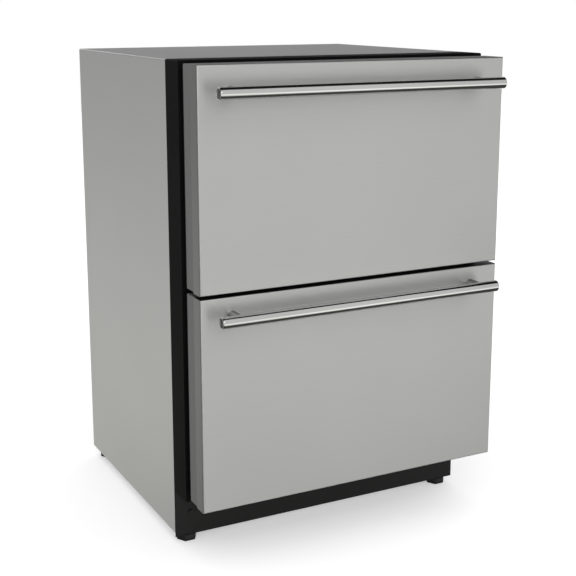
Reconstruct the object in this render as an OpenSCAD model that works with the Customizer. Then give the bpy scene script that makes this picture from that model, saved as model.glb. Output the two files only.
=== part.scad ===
// Undercounter refrigerator with two drawers behind folded stainless fronts.
// The front faces -Y, +X is to the right seen from the front, and +Z is up.
// The origin is on the floor under the middle of the whole object. Sizes are in millimetres.

/* [Cabinet] */
// Width across the wrapper
cabinet_w = 608; // [596:1:640]
// Height of the wrapper's top above the floor
cabinet_h = 876; // [864:1:910]
// Depth of the wrapper from its front edge to its back edge
wrapper_d = 477; // [472:1:520]
// Height of the wrapper's lower edge above the floor
wrapper_z = 21; // [17:1:26]
// Thickness of the wrapper's stainless sheet
sheet_t = 1; // [0.8:0.1:1.5]
// Outside radius of the wrapper's folds
fold_r = 3; // [2:0.5:5]
// Width of the return flange along the wrapper's front edge
wrapper_lip = 14; // [10:1:20]
// Distance of the rear panel's inner face from the wrapper's back edge
rear_inset = 4; // [4:0.5:8]

/* [Front frame] */
// Depth of the black frame in front of the wrapper
frame_d = 57; // [45:1:70]
// Wall of the frame moulding
frame_t = 3; // [2:0.5:4]
// Height of the frame's lower edge above the floor
plinth_z = 104; // [98:1:110]
// Height of the rail between the two drawers
mullion_h = 54; // [52:1:60]
// Depth of the rail between the two drawers
mullion_d = 40; // [30:1:50]

/* [Insulation] */
// Foam at each side of the cavity
side_foam = 40; // [36:1:42]
// Foam over the cavity
top_foam = 45; // [38:1:48]
// Foam under the cavity
floor_foam = 43; // [38:1:46]
// Foam behind the cavity
rear_foam = 45; // [38:1:46]
// Foam round the step over the machine room
hump_foam = 32; // [26:1:36]
// Wall of the plastic liner
liner_t = 2; // [1.5:0.5:3]
// Thickness of the steel deck under the foam
deck_t = 1; // [0.8:0.1:1.5]

/* [Plinth and legs] */
// How far the kick plate stands in front of the wrapper
kick_out = 3; // [2.5:0.5:6]
// Sheet of the kick plate
kick_t = 1.5; // [1:0.25:2]
// Height of the kick plate's lower edge above the floor
kick_z = 13; // [10:1:16]
// Width of the hem behind the kick plate's edges
kick_hem = 12; // [8:1:16]
// Distance of the kick plate's screws from the cabinet's sides
kick_screw_x = 30; // [24:1:40]
// Height of the kick plate's screws above the floor
kick_screw_z = 58; // [50:1:75]
// Diameter of the kick plate's screw heads
kick_screw_d = 9; // [7:0.5:10]
// Sheet of the base pan
pan_t = 1.5; // [1.2:0.1:2]
// Height of the base pan's side flanges
pan_flange = 24; // [16:1:30]
// Width across the flats of a leg's hexagon
leg_af = 34; // [28:1:38]
// Diameter of a leg's threaded stud
stud_d = 10; // [8:1:12]
// Length of a leg's threaded stud
stud_l = 60; // [50:1:68]
// Distance of the legs from the cabinet's sides
leg_side = 28; // [24:1:40]
// Distance of the rear legs from the wrapper's back edge
leg_rear = 22; // [20:1:34]
// Height of the welded nut that holds a leg
nut_h = 14; // [10:1:18]

/* [Drawer fronts] */
// Gap from the side of a front to the side of the cabinet
front_side_gap = 3; // [2:0.5:6]
// Gap from the upper front to the top of the cabinet
front_top_gap = 4.5; // [3:0.5:8]
// Gap between the two fronts
front_gap = 6; // [4:0.5:8]
// Gap from the lower front to the frame's lower edge
front_low_gap = 6; // [4:0.5:8]
// Thickness of a drawer front
front_t = 56; // [50:1:64]
// Depth of the stainless skin's folded sides
skin_d = 28; // [20:1:34]
// Sheet of the stainless skin
skin_t = 1.2; // [0.8:0.1:1.5]
// Radius of the skin's two upright folds
skin_r = 3; // [2:0.5:5]
// Wall of the inner tray behind the skin
tray_t = 2; // [1.5:0.5:3]
// How much higher the inner tray ends than the skin at the bottom
tray_lift = 3; // [2:0.5:5]
// Depth of the raised dam on the back of a front
dam_d = 20; // [18:0.5:24]
// Gap from the dam to the cavity's opening
dam_gap = 10; // [8:0.5:12]

/* [Seal] */
// Thickness of the seal between a front and the frame
seal_t = 15; // [13:0.5:17]
// Width of the seal
seal_w = 16; // [14:0.5:18]
// Distance of the seal from the edge of a front
seal_inset = 4; // [3:0.5:6]
// Width of the barb that holds the seal in its groove
dart_w = 5; // [4:0.5:6]
// Depth of the barb that holds the seal in its groove
dart_l = 6; // [5:0.5:8]

/* [Handles] */
// Length of a handle bar
handle_l = 556; // [500:1:580]
// Diameter of a handle bar
handle_d = 21; // [20:0.5:24]
// Distance from a front to the middle of its handle bar
handle_reach = 33.5; // [30:0.5:45]
// Chamfer on the ends of a handle bar
handle_chamfer = 1.5; // [1:0.25:3]
// Diameter of a handle post
post_d = 19; // [15:0.5:20]
// Distance of a handle post from the end of its bar
post_inset = 35; // [30:1:60]
// Distance of the upper handle below the top of its front
upper_handle_drop = 43.5; // [30:0.5:60]
// Distance of the lower handle below the top of its front
lower_handle_drop = 33; // [30:0.5:60]
// Diameter of the screws that hold a post
post_screw_d = 5; // [4:0.5:6]
// Depth of the screws in a post
post_screw_l = 14; // [10:1:16]

/* [Slides] */
// Length of a drawer slide
slide_l = 400; // [360:1:410]
// Height of a drawer slide
slide_h = 45; // [40:1:50]
// Thickness of a drawer slide
slide_w = 13; // [12.5:0.5:15]
// Sheet of the slide members
slide_t = 1.2; // [1:0.1:1.4]
// Gap between the slide members
slide_gap = 0.4; // [0.3:0.05:0.5]
// Distance of the slides behind the wrapper's front edge
slide_back = 3; // [2:0.5:6]
// Distance of a slide's middle below the rim of its bin
slide_drop = 40; // [36:1:46]

/* [Bins] */
// Sheet of the side brackets that carry a bin
bracket_t = 1.5; // [1.2:0.1:2]
// Width of the ledge under the rim of a bin
ledge_w = 10; // [8:0.5:12]
// Play between a bin and its brackets
bin_play = 0.5; // [0.3:0.1:1]
// Wall of a bin
bin_t = 2.5; // [2:0.25:3.5]
// Radius of a bin's corners
bin_r = 14; // [8:1:20]
// Thickness of a bin's rim
rim_t = 4; // [3:0.5:6]
// Gap under a bin
bin_floor_gap = 6; // [4:0.5:9]
// Gap behind a bin
bin_rear_gap = 8; // [6:0.5:12]
// Free height over the rim of the upper bin
upper_headroom = 78; // [60:1:100]
// Free height over the rim of the lower bin
lower_headroom = 46; // [36:1:60]

/* [Machine room] */
// Depth of the machine room at the back
machine_d = 170; // [166:1:176]
// Height of the machine room over the base pan
machine_h = 242; // [238:1:250]
// Diameter of the compressor's shell
compressor_d = 144; // [130:1:150]
// Height of the compressor's shell
compressor_h = 165; // [150:1:172]
// Distance of the compressor's middle from the left side
compressor_x = 134; // [130:1:140]
// Height of the rubber feet under the compressor
grommet_h = 14; // [10:1:18]
// Width of the condenser's finned block
condenser_w = 150; // [140:1:156]
// Height of the condenser's finned block
condenser_h = 160; // [150:1:166]
// Depth of the condenser's finned block
condenser_d = 55; // [45:1:60]
// Distance of the condenser from the right side
condenser_x = 224; // [216:1:230]
// Diameter of the condenser fan
condenser_fan_d = 128; // [110:1:130]
// Depth of the condenser fan
condenser_fan_h = 18; // [14:1:20]
// Depth of the duct between the condenser and its fan
shroud_d = 40; // [34:1:44]
// Length of the collar round the condenser fan
collar_l = 20; // [16:1:24]
// Diameter of the condenser fan's motor
fan_motor_d = 56; // [48:1:60]
// Length of the condenser fan's motor
fan_motor_l = 26; // [20:1:32]
// Diameter of the tubes in both coils
coil_tube_d = 8; // [7:0.5:9]
// Number of passes of the condenser's tube
condenser_passes = 7; // [5:2:7]
// Spacing of the condenser's fins
condenser_pitch = 7; // [6:0.5:10]
// Diameter of the filter drier
drier_d = 18; // [16:1:22]
// Height of the filter drier between its cones
drier_h = 90; // [70:1:100]
// Height of the pan that the drain water dries off in
drain_pan_h = 24; // [18:1:30]
// Distance of the grille's opening from the left side
grille_left = 24; // [20:1:40]
// Distance of the grille's opening from the right side
grille_right = 114; // [100:1:130]
// Distance of the supply lead's gland from the right side
gland_side = 64; // [40:1:80]
// Width of the box for the electrical parts
power_box_w = 70; // [60:1:76]
// Depth of the box for the electrical parts
power_box_d = 50; // [40:1:56]
// Height of the box for the electrical parts
power_box_h = 100; // [80:1:110]

/* [Cold air] */
// Free width from the evaporator's cover to the side of the cavity
cover_side_gap = 25; // [24:1:32]
// Distance of the cover's face from the back of the cavity
cover_d = 45; // [43:1:48]
// Wall of the evaporator cover
cover_t = 2; // [1.5:0.5:2.5]
// Height of the cover's lower edge over the step in the cavity
cover_low = 40; // [30:1:50]
// Free width from the evaporator's end plate to the side of its cover
evaporator_side_gap = 46; // [44:1:60]
// Free height between the evaporator's fins and the fan over them
evaporator_fan_gap = 28.5; // [20:0.5:40]
// Height of the evaporator's fins
evaporator_h = 160; // [140:1:165]
// Depth of the evaporator's fins
evaporator_d = 32; // [28:1:34]
// Number of passes of the evaporator's tube
evaporator_passes = 6; // [4:2:6]
// Spacing of the evaporator's fins
evaporator_pitch = 12; // [10:1:16]
// Diameter of the evaporator fan
cold_fan_d = 100; // [90:1:104]
// Depth of the evaporator fan
cold_fan_h = 12; // [8:1:14]
// Distance of the evaporator fan's middle below the cavity's ceiling
cold_fan_drop = 70; // [64:1:74]
// Diameter of the evaporator fan's motor
cold_motor_d = 44; // [36:1:50]
// Depth of the evaporator fan's motor
cold_motor_h = 20; // [16:1:21]

/* [Controls] */
// Width of the touch control under the cavity's ceiling
control_w = 190; // [150:1:220]
// Depth of the touch control
control_d = 60; // [40:1:70]
// Height of the touch control
control_h = 16; // [12:1:20]
// Length of the light strip
light_l = 320; // [200:1:400]
// Width of the light strip
light_w = 18; // [14:1:24]
// Depth of the light strip below the ceiling
light_h = 7; // [5:0.5:9]
// Bore of the gland for the supply lead
gland_bore = 8.4; // [7:0.1:10]

/* [Hidden] */
$fn = 64;

// Clearances: a cut runs past its solid by over, seats on other bodies keep play, and a shaft
// runs in its hole with fit all round
over = 1;
play = 0.4;
fit = 0.05;
screw_clear = 0.25;

// The planes of the cabinet, from the floor up and from the front back
half_w = cabinet_w / 2;
overall_d = wrapper_d + frame_d + seal_t + front_t + handle_reach + handle_d / 2;
back_y = overall_d / 2;
wrapper_y = back_y - wrapper_d;
frame_y = wrapper_y - frame_d;
seal_y = frame_y - seal_t;
face_y = seal_y - front_t;
skin_y = face_y + skin_d;
dam_y = seal_y + dam_d;
bar_y = face_y - handle_reach;
rear_y = back_y - rear_inset;
kick_y = wrapper_y - kick_out;
inside_x = half_w - sheet_t;
inside_z = cabinet_h - sheet_t;
pan_z = wrapper_z + pan_t;

// The machine room and the deck over it
machine_y = rear_y - machine_d;
machine_z = pan_z + machine_h;
machine_mid = (machine_y + rear_y) / 2;

// The cavity
cavity_x = inside_x - side_foam - liner_t;
cavity_z0 = plinth_z + deck_t + floor_foam + liner_t;
cavity_z1 = inside_z - top_foam - liner_t;
cavity_y1 = rear_y - rear_foam - liner_t;
step_y = machine_y - deck_t - hump_foam - liner_t;
step_z = machine_z + deck_t + hump_foam + liner_t;

// The fronts, the rail between them and the cavity's two openings: 0 is the lower, 1 the upper
front_w = cabinet_w - 2 * front_side_gap;
half_front = front_w / 2;
front_z = plinth_z + front_low_gap;
front_h = (cabinet_h - front_top_gap - front_gap - front_z) / 2;
rail_z = front_z + front_h + front_gap / 2;
function front_z0(k) = front_z + k * (front_h + front_gap);
function front_z1(k) = front_z0(k) + front_h;
function tray_z0(k) = front_z0(k) + tray_lift;
function open_z0(k) = k == 0 ? cavity_z0 : rail_z + mullion_h / 2;
function open_z1(k) = k == 0 ? rail_z - mullion_h / 2 : cavity_z1;
function handle_z(k) = front_z1(k) - (k == 0 ? lower_handle_drop : upper_handle_drop);
post_x = handle_l / 2 - post_inset;
dam_x = cavity_x - dam_gap;

// The bins and what carries them
cover_y = cavity_y1 - cover_d;
bracket_x = cavity_x - slide_w;
bin_x = bracket_x - bracket_t - ledge_w - bin_play;
rim_x = bracket_x - bin_play;
bin_y0 = dam_y + bracket_t + 2;
slide_y0 = wrapper_y + slide_back;
slide_y1 = slide_y0 + slide_l;
function bin_y1(k) = (k == 0 ? step_y : cover_y) - bin_rear_gap;
function bin_z0(k) = open_z0(k) + bin_floor_gap;
function rim_z(k) = open_z1(k) - (k == 0 ? lower_headroom : upper_headroom);
function slide_z(k) = rim_z(k) - slide_drop;

// Hubs and shafts of the two fans
condenser_hub_r = 18;
condenser_shaft_r = 3;
cold_hub_r = 13;
cold_shaft_r = 2;

// Plinth and legs
leg_x = half_w - leg_side;
leg_y0 = kick_y + leg_af / 2;
leg_y1 = back_y - leg_rear;
stud_r = stud_d / 2;
screw_x = half_w - kick_screw_x;
kick_screw_r = 2;

// Fins and the tubes through them
fin_t = 0.6;
plate_t = 1.2;
coil_r = coil_tube_d / 2;
discharge_r = 4;
liquid_r = 2.5;
suction_r = 5;
spout_r = 8;
tube_bend = 6;
socket_t = 0.4;
socket_lap = 1;
pipe_clear = 0.6;

// The compressor
pump_r = compressor_d / 2;
pump_x = compressor_x - half_w;
pump_z = pan_z + grommet_h;
pump_top = pump_z + compressor_h;
pump_foot_x = pump_r + 6;
pump_foot_y = pump_r - 10;
pump_foot_t = 3;
grommet_r = 9;

// The condenser with its duct, fan and motor
coil_x = half_w - condenser_x;
coil_mid_x = coil_x + condenser_d / 2;
coil_loop = 12;
coil_y0 = machine_mid - condenser_w / 2 + coil_loop;
coil_y1 = machine_mid + condenser_w / 2 - coil_loop;
coil_step = condenser_h / (condenser_passes + 0.5);
coil_bend = coil_step * 0.45;
coil_low_z = pan_z + coil_step * 0.75;
coil_high_z = coil_low_z + (condenser_passes - 1) * coil_step;
fan_x = coil_x - shroud_d;
fan_z = pan_z + condenser_h / 2;
motor_x1 = fan_x - collar_l + 2;
drier_x = coil_x + condenser_d + 24;
drier_y = machine_mid + 40;
drier_z0 = pan_z + 34;
drier_z1 = drier_z0 + drier_h;
drier_cone = 10;

// The evaporator under its fan
cover_x = cavity_x - cover_side_gap;
evap_x = cover_x - evaporator_side_gap;
evap_y = cover_y + cover_t + 4 + evaporator_d / 2;
cold_fan_z = cavity_z1 - cold_fan_drop;
evap_z0 = cold_fan_z - cold_fan_d / 2 - evaporator_fan_gap - evaporator_h;
evap_step = evaporator_h / (evaporator_passes + 0.5);
evap_bend = evap_step * 0.45;
evap_end_x = evap_x + evap_bend + 2;
evap_first_z = evap_z0 + evap_step * 0.75;
evap_last_z = evap_first_z + (evaporator_passes - 1) * evap_step;
pipe_y = cavity_y1 - 24;
suction_x = evap_x + 36;
liquid_x = evap_x + 24;
trough_d = 16;

// The grille in the rear panel and the gland for the supply lead
grille_x0 = grille_left - half_w;
grille_x1 = half_w - grille_right;
grille_z0 = pan_z + 18;
grille_z1 = machine_z - 14;
gland_r = 10;
gland_x = half_w - gland_side;
gland_z = pan_z + power_box_h + 28;

// Each slide member sits inside the one round it
slide_step = slide_t + slide_gap;
middle_half = slide_h / 2 - slide_step;
inner_half = middle_half - slide_step;

steel = [0.69, 0.69, 0.68];
black = [0.11, 0.11, 0.11];
zinc = [0.62, 0.64, 0.66];
white = [0.92, 0.93, 0.93];
copper = [0.72, 0.45, 0.3];

// A block between its lowest and highest corners
module slab(low, high) {
  translate(low) cube(high - low);
}

// An outline drawn in x and z, run along y
module along_y(y0, y1) {
  translate([0, y1, 0]) rotate([90, 0, 0]) linear_extrude(y1 - y0) children();
}

// An outline drawn in y and z, run along x
module along_x(x0, x1) {
  translate([x0, 0, 0]) rotate([90, 0, 90]) linear_extrude(x1 - x0) children();
}

module rod_x(r, x0, x1, y, z) {
  translate([x0, y, z]) rotate([0, 90, 0]) cylinder(r = r, h = x1 - x0);
}

module rod_y(r, y0, y1, x, z) {
  translate([x, y1, z]) rotate([90, 0, 0]) cylinder(r = r, h = y1 - y0);
}

module rod_z(r, z0, z1, x, y) {
  translate([x, y, z0]) cylinder(r = r, h = z1 - z0);
}

module both_sides() {
  children();
  mirror([1, 0, 0]) children();
}

// A rectangle on the z axis whose two upper corners are rounded
module arch(w, h, r) {
  translate([-w / 2, 0]) square([w, h - r]);
  translate([-w / 2 + r, 0]) square([w - 2 * r, h]);
  for (side = [-1, 1]) translate([side * (w / 2 - r), h - r]) circle(r);
}

// A rectangle between two corners with all corners rounded
module soft_rect(low, high, r) {
  translate([low.x, low.y + r]) square([high.x - low.x, high.y - low.y - 2 * r]);
  translate([low.x + r, low.y]) square([high.x - low.x - 2 * r, high.y - low.y]);
  for (x = [low.x + r, high.x - r], y = [low.y + r, high.y - r]) translate([x, y]) circle(r);
}

// A tube through points whose stretches lie along the axes. Each bend is a socket, a little
// wider than the tube, and the straights run a little way into it.
module pipe(points, r, bend) {
  last = len(points) - 1;
  for (i = [0 : last - 1]) {
    run = points[i + 1] - points[i];
    u = run / norm(run);
    v = [u.y, u.z, u.x];
    w = cross(u, v);
    start = points[i] + (i == 0 ? 0 : bend - socket_lap) * u;
    stop = points[i + 1] - (i == last - 1 ? 0 : bend - socket_lap) * u;
    axes(v, w, u, start) cylinder(r = r, h = norm(stop - start));
  }
  for (i = [1 : last - 1]) {
    u = (points[i] - points[i - 1]) / norm(points[i] - points[i - 1]);
    v = (points[i + 1] - points[i]) / norm(points[i + 1] - points[i]);
    axes(-v, u, cross(-v, u), points[i] + bend * (v - u))
      rotate_extrude(angle = 90) translate([bend, 0]) circle(r + socket_t);
  }
}

// Turns x, y and z to three new directions at a new origin
module axes(x, y, z, origin) {
  multmatrix([
    [x.x, y.x, z.x, origin.x],
    [x.y, y.y, z.y, origin.y],
    [x.z, y.z, z.z, origin.z],
    [0, 0, 0, 1]
  ]) children();
}

// ---- Cabinet ----

module cabinet_wrapper() {
  h = cabinet_h - wrapper_z;
  color(steel) difference() {
    along_y(wrapper_y, back_y) translate([0, wrapper_z]) arch(cabinet_w, h, fold_r);
    along_y(wrapper_y + sheet_t, back_y + over) translate([0, wrapper_z - over])
      arch(2 * inside_x, h + over - sheet_t, fold_r - sheet_t);
    slab([wrapper_lip - half_w, wrapper_y - over, wrapper_z - over],
      [half_w - wrapper_lip, back_y, cabinet_h - wrapper_lip]);
  }
}

module rear_panel() {
  color(zinc) difference() {
    slab([-inside_x, rear_y, wrapper_z], [inside_x, rear_y + 1, inside_z]);
    slab([grille_x0, rear_y - over, grille_z0], [grille_x1, rear_y + 1 + over, grille_z1]);
    for (side = [-1, 1]) slab(
      [side * inside_x - fold_r, rear_y - over, inside_z - fold_r],
      [side * inside_x + fold_r, rear_y + 1 + over, inside_z + over]);
    rod_y(gland_r, rear_y - over, rear_y + 1 + over, gland_x, gland_z);
  }
}

// A flat grille over the rear panel's opening, with rows of air slots
module rear_grille() {
  grille_lap = 12;
  slot_w = 130;
  slot_h = 5;
  slot_gap_x = 16;
  slot_pitch = 12;
  x0 = grille_x0 - grille_lap;
  x1 = grille_x1 + grille_lap;
  columns = floor((grille_x1 - grille_x0 + slot_gap_x) / (slot_w + slot_gap_x));
  rows = floor((grille_z1 - grille_z0) / slot_pitch);
  first_x = (x0 + x1 - columns * (slot_w + slot_gap_x) + slot_gap_x) / 2;
  first_z = (grille_z0 + grille_z1 - (rows - 1) * slot_pitch) / 2;
  color(zinc) difference() {
    slab([x0, rear_y + 1, grille_z0 - grille_lap], [x1, rear_y + 2, grille_z1 + grille_lap]);
    for (c = [0 : columns - 1], r = [0 : rows - 1])
      along_y(rear_y, rear_y + 3)
        translate([first_x + c * (slot_w + slot_gap_x), first_z + r * slot_pitch - slot_h / 2])
          soft_rect([0, 0], [slot_w, slot_h], slot_h / 2 - 0.01);
  }
}

// The cavity's side outline, grown by a wall
module cavity_outline(wall, front) {
  polygon([
    [front, cavity_z0 - wall], [step_y + wall, cavity_z0 - wall], [step_y + wall, step_z - wall],
    [cavity_y1 + wall, step_z - wall], [cavity_y1 + wall, cavity_z1 + wall],
    [front, cavity_z1 + wall]
  ]);
}

// The ways down for the drain and the two refrigerant tubes, with room for their sockets
module tube_holes(z0, z1) {
  rod_z(spout_r + pipe_clear, z0 - over, z1 + over, pump_x, pipe_y);
  rod_z(suction_r + pipe_clear, z0 - over, z1 + over, suction_x, pipe_y);
  rod_z(liquid_r + pipe_clear, z0 - over, z1 + over, liquid_x, pipe_y);
}

module foam_insulation() {
  foam_y = wrapper_y + sheet_t;
  foam_z = plinth_z + deck_t;
  neck_x = half_w - wrapper_lip;
  pocket_x = half_w - frame_t;
  color([0.93, 0.86, 0.62]) difference() {
    union() {
      along_x(-inside_x, inside_x) polygon([
        [foam_y, foam_z], [machine_y - deck_t, foam_z], [machine_y - deck_t, machine_z + deck_t],
        [rear_y, machine_z + deck_t], [rear_y, inside_z], [foam_y, inside_z]
      ]);
      slab([-neck_x, wrapper_y - over, plinth_z + frame_t],
        [neck_x, foam_y + over, cabinet_h - wrapper_lip]);
      slab([-pocket_x, frame_y + frame_t, plinth_z + frame_t],
        [pocket_x, wrapper_y, cabinet_h - frame_t]);
    }
    along_x(-cavity_x - liner_t, cavity_x + liner_t) cavity_outline(liner_t, wrapper_y);
    slab([-cavity_x - frame_t, frame_y, cavity_z0 - frame_t],
      [cavity_x + frame_t, wrapper_y, cavity_z1 + frame_t]);
    both_sides() slab([inside_x - fold_r, foam_y, inside_z - fold_r],
      [inside_x + over, rear_y + over, inside_z + over]);
    tube_holes(machine_z, step_z);
  }
}

module inner_liner() {
  color(white) difference() {
    along_x(-cavity_x - liner_t, cavity_x + liner_t) cavity_outline(liner_t, wrapper_y);
    along_x(-cavity_x, cavity_x) cavity_outline(0, wrapper_y - over);
    tube_holes(machine_z, step_z);
  }
}

module front_frame() {
  color(black) difference() {
    along_y(frame_y, wrapper_y) translate([0, plinth_z])
      arch(cabinet_w, cabinet_h - plinth_z, fold_r);
    difference() {
      slab([frame_t - half_w, frame_y + frame_t, plinth_z + frame_t],
        [half_w - frame_t, wrapper_y + over, cabinet_h - frame_t]);
      slab([-cavity_x - frame_t, frame_y, cavity_z0 - frame_t],
        [cavity_x + frame_t, wrapper_y + over, cavity_z1 + frame_t]);
    }
    slab([-cavity_x, frame_y - over, cavity_z0], [cavity_x, wrapper_y + over, cavity_z1]);
  }
}

module mullion_rail() {
  color(black) along_x(-cavity_x, cavity_x) difference() {
    translate([frame_y, open_z1(0)]) square([mullion_d, mullion_h]);
    translate([frame_y + frame_t, open_z1(0) + frame_t])
      square([mullion_d, mullion_h - 2 * frame_t]);
  }
}

module bottom_deck() {
  front = wrapper_y + sheet_t;
  color(zinc) difference() {
    along_x(-inside_x, inside_x) polygon([
      [front, plinth_z], [machine_y, plinth_z], [machine_y, machine_z], [rear_y, machine_z],
      [rear_y, machine_z + deck_t], [machine_y - deck_t, machine_z + deck_t],
      [machine_y - deck_t, plinth_z + deck_t], [front, plinth_z + deck_t]
    ]);
    tube_holes(machine_z, step_z);
  }
}

// ---- Plinth and legs ----

// A tray with an upstand in front and a welded nut for each leg
module base_pan() {
  pan_y = wrapper_y + sheet_t;
  nut_r = stud_r + 7;
  upstand_x = half_w - wrapper_lip - play;
  color(zinc) difference() {
    union() {
      slab([-inside_x, pan_y, wrapper_z], [inside_x, rear_y, pan_z]);
      slab([-upstand_x, wrapper_y, wrapper_z], [upstand_x, wrapper_y + pan_t, plinth_z - play]);
      both_sides() slab([inside_x - pan_t, pan_y, wrapper_z],
        [inside_x, rear_y, wrapper_z + pan_flange]);
      for (x = [-leg_x, leg_x], y = [leg_y0, leg_y1]) rod_z(nut_r, wrapper_z, pan_z + nut_h, x, y);
    }
    for (x = [-leg_x, leg_x], y = [leg_y0, leg_y1])
      rod_z(stud_r + fit, wrapper_z - over, pan_z + nut_h + over, x, y);
    both_sides() rod_y(kick_screw_r + fit, wrapper_y - over, wrapper_y + pan_t + over,
      screw_x, kick_screw_z);
  }
}

module kick_plate() {
  top = plinth_z - play;
  color(black) difference() {
    slab([-half_w, kick_y, kick_z], [half_w, wrapper_y, top]);
    slab([kick_hem - half_w, kick_y + kick_t, kick_z + kick_hem],
      [half_w - kick_hem, wrapper_y + over, top - kick_hem]);
    both_sides() rod_y(kick_screw_r + screw_clear, kick_y - over, kick_y + kick_out,
      screw_x, kick_screw_z);
  }
}

// Pan-head screws with a cross recess
module kick_plate_screws() {
  head_r = kick_screw_d / 2;
  head_h = 2.2;
  color(black) both_sides() difference() {
    union() {
      rod_y(head_r, kick_y - head_h, kick_y, screw_x, kick_screw_z);
      rod_y(kick_screw_r, kick_y - over, wrapper_y + pan_t + 3, screw_x, kick_screw_z);
    }
    for (turn = [0, 90]) translate([screw_x, kick_y - head_h, kick_screw_z]) rotate([0, turn, 0])
      cube([head_r, 2.4, 1], center = true);
  }
}

// A levelling leg: a hexagon to turn it by, chamfered below, on a threaded stud
module leg(x, y) {
  head_h = kick_z - play;
  corner_r = leg_af / sqrt(3);
  chamfer = 1.5;
  color(black) {
    intersection() {
      translate([x, y, 0]) cylinder(r = corner_r, h = head_h, $fn = 6);
      translate([x, y, 0]) cylinder(r1 = corner_r - chamfer, r2 = corner_r + head_h - chamfer,
        h = head_h);
    }
    rod_z(stud_r, head_h - over, head_h + stud_l, x, y);
  }
}

module leg_front_left() {
  leg(-leg_x, leg_y0);
}

module leg_front_right() {
  leg(leg_x, leg_y0);
}

module leg_rear_left() {
  leg(-leg_x, leg_y1);
}

module leg_rear_right() {
  leg(leg_x, leg_y1);
}

// ---- Machine room ----

// A welded steel shell with a domed top and bottom, on a foot plate with four holes
module compressor() {
  round_r = 26;
  seam_z = 74;
  seam_w = 4;
  box_w = 44;
  box_h = 46;
  box_d = 12;
  bolt_r = 5;
  color([0.14, 0.14, 0.15]) translate([pump_x, machine_mid, pump_z]) {
    rotate_extrude() {
      square([pump_r - round_r, compressor_h]);
      translate([0, round_r]) square([pump_r, compressor_h - 2 * round_r]);
      for (z = [round_r, compressor_h - round_r]) translate([pump_r - round_r, z])
        intersection() {
          circle(round_r);
          translate([0, -round_r]) square([round_r, 2 * round_r]);
        }
      translate([0, seam_z]) square([pump_r + seam_w, seam_w]);
    }
    difference() {
      linear_extrude(pump_foot_t) soft_rect([-pump_foot_x - grommet_r, -pump_foot_y - grommet_r],
        [pump_foot_x + grommet_r, pump_foot_y + grommet_r], grommet_r);
      for (x = [-pump_foot_x, pump_foot_x], y = [-pump_foot_y, pump_foot_y]) translate([x, y, -over])
        cylinder(r = bolt_r, h = pump_foot_t + 2 * over);
    }
    slab([-pump_r - box_d, -box_w / 2, seam_z + box_d],
      [box_d - pump_r, box_w / 2, seam_z + box_d + box_h]);
  }
}

// Rubber feet whose necks go up through the foot plate
module compressor_grommets() {
  neck_r = 4.5;
  color([0.1, 0.1, 0.1]) translate([pump_x, machine_mid, pan_z])
    for (x = [-pump_foot_x, pump_foot_x], y = [-pump_foot_y, pump_foot_y]) translate([x, y, 0]) {
      cylinder(r = grommet_r, h = grommet_h);
      cylinder(r = neck_r, h = grommet_h + pump_foot_t + 3);
    }
}

// The points of a coil's tube: passes from a to b, stacked in z from z0 by pitch
function coil_points(passes, a, b, z0, pitch) = [
  for (i = [0 : passes - 1], e = [0, 1])
    let (at_b = (i + e) % 2 == 1) concat(at_b ? b : a, z0 + i * pitch)
];

// One tube folded into passes through aluminium fins
module condenser() {
  points = coil_points(condenser_passes, [coil_mid_x, coil_y0], [coil_mid_x, coil_y1], coil_low_z,
    coil_step);
  fins = floor((coil_y1 - coil_y0 - 2 * coil_bend) / condenser_pitch);
  color([0.6, 0.62, 0.64]) {
    pipe(points, coil_r, coil_bend);
    for (i = [0 : fins]) {
      y = machine_mid + (i - fins / 2) * condenser_pitch;
      slab([coil_x, y - fin_t / 2, pan_z], [coil_x + condenser_d, y + fin_t / 2,
        pan_z + condenser_h]);
    }
  }
}

// A duct from the condenser to the collar round the fan, with arms that hold the motor
module fan_shroud() {
  wall = 2;
  arm_w = 8;
  arm_d = 4;
  r = condenser_fan_d / 2 + 3;
  y0 = machine_mid - condenser_w / 2;
  y1 = machine_mid + condenser_w / 2;
  z1 = pan_z + condenser_h;
  color(black) {
    difference() {
      slab([fan_x, y0, pan_z], [coil_x, y1, z1]);
      slab([fan_x + wall, y0 + wall, pan_z + wall], [coil_x + over, y1 - wall, z1 - wall]);
      rod_x(r, fan_x - over, fan_x + wall + over, machine_mid, fan_z);
    }
    difference() {
      rod_x(r + wall, fan_x - collar_l, fan_x + wall, machine_mid, fan_z);
      rod_x(r, fan_x - collar_l - over, fan_x + wall + over, machine_mid, fan_z);
    }
    difference() {
      translate([fan_x - collar_l - arm_d, machine_mid, fan_z]) for (turn = [0, 90, 180, 270])
        rotate([turn, 0, 0]) slab([0, 0, -arm_w / 2], [arm_d + over, r + wall, arm_w / 2]);
      rod_x(fan_motor_d / 2 + fit, fan_x - collar_l - arm_d - over, fan_x, machine_mid, fan_z);
    }
  }
}

module condenser_fan_motor() {
  cap_l = 4;
  cap_step = 8;
  x0 = motor_x1 - fan_motor_l;
  color([0.2, 0.2, 0.2]) {
    rod_x(fan_motor_d / 2, x0, motor_x1, machine_mid, fan_z);
    rod_x(fan_motor_d / 2 - cap_step, x0 - cap_l, x0 + over, machine_mid, fan_z);
    rod_x(condenser_shaft_r, motor_x1 - over, motor_x1 + condenser_fan_h + 4, machine_mid, fan_z);
  }
}

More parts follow.
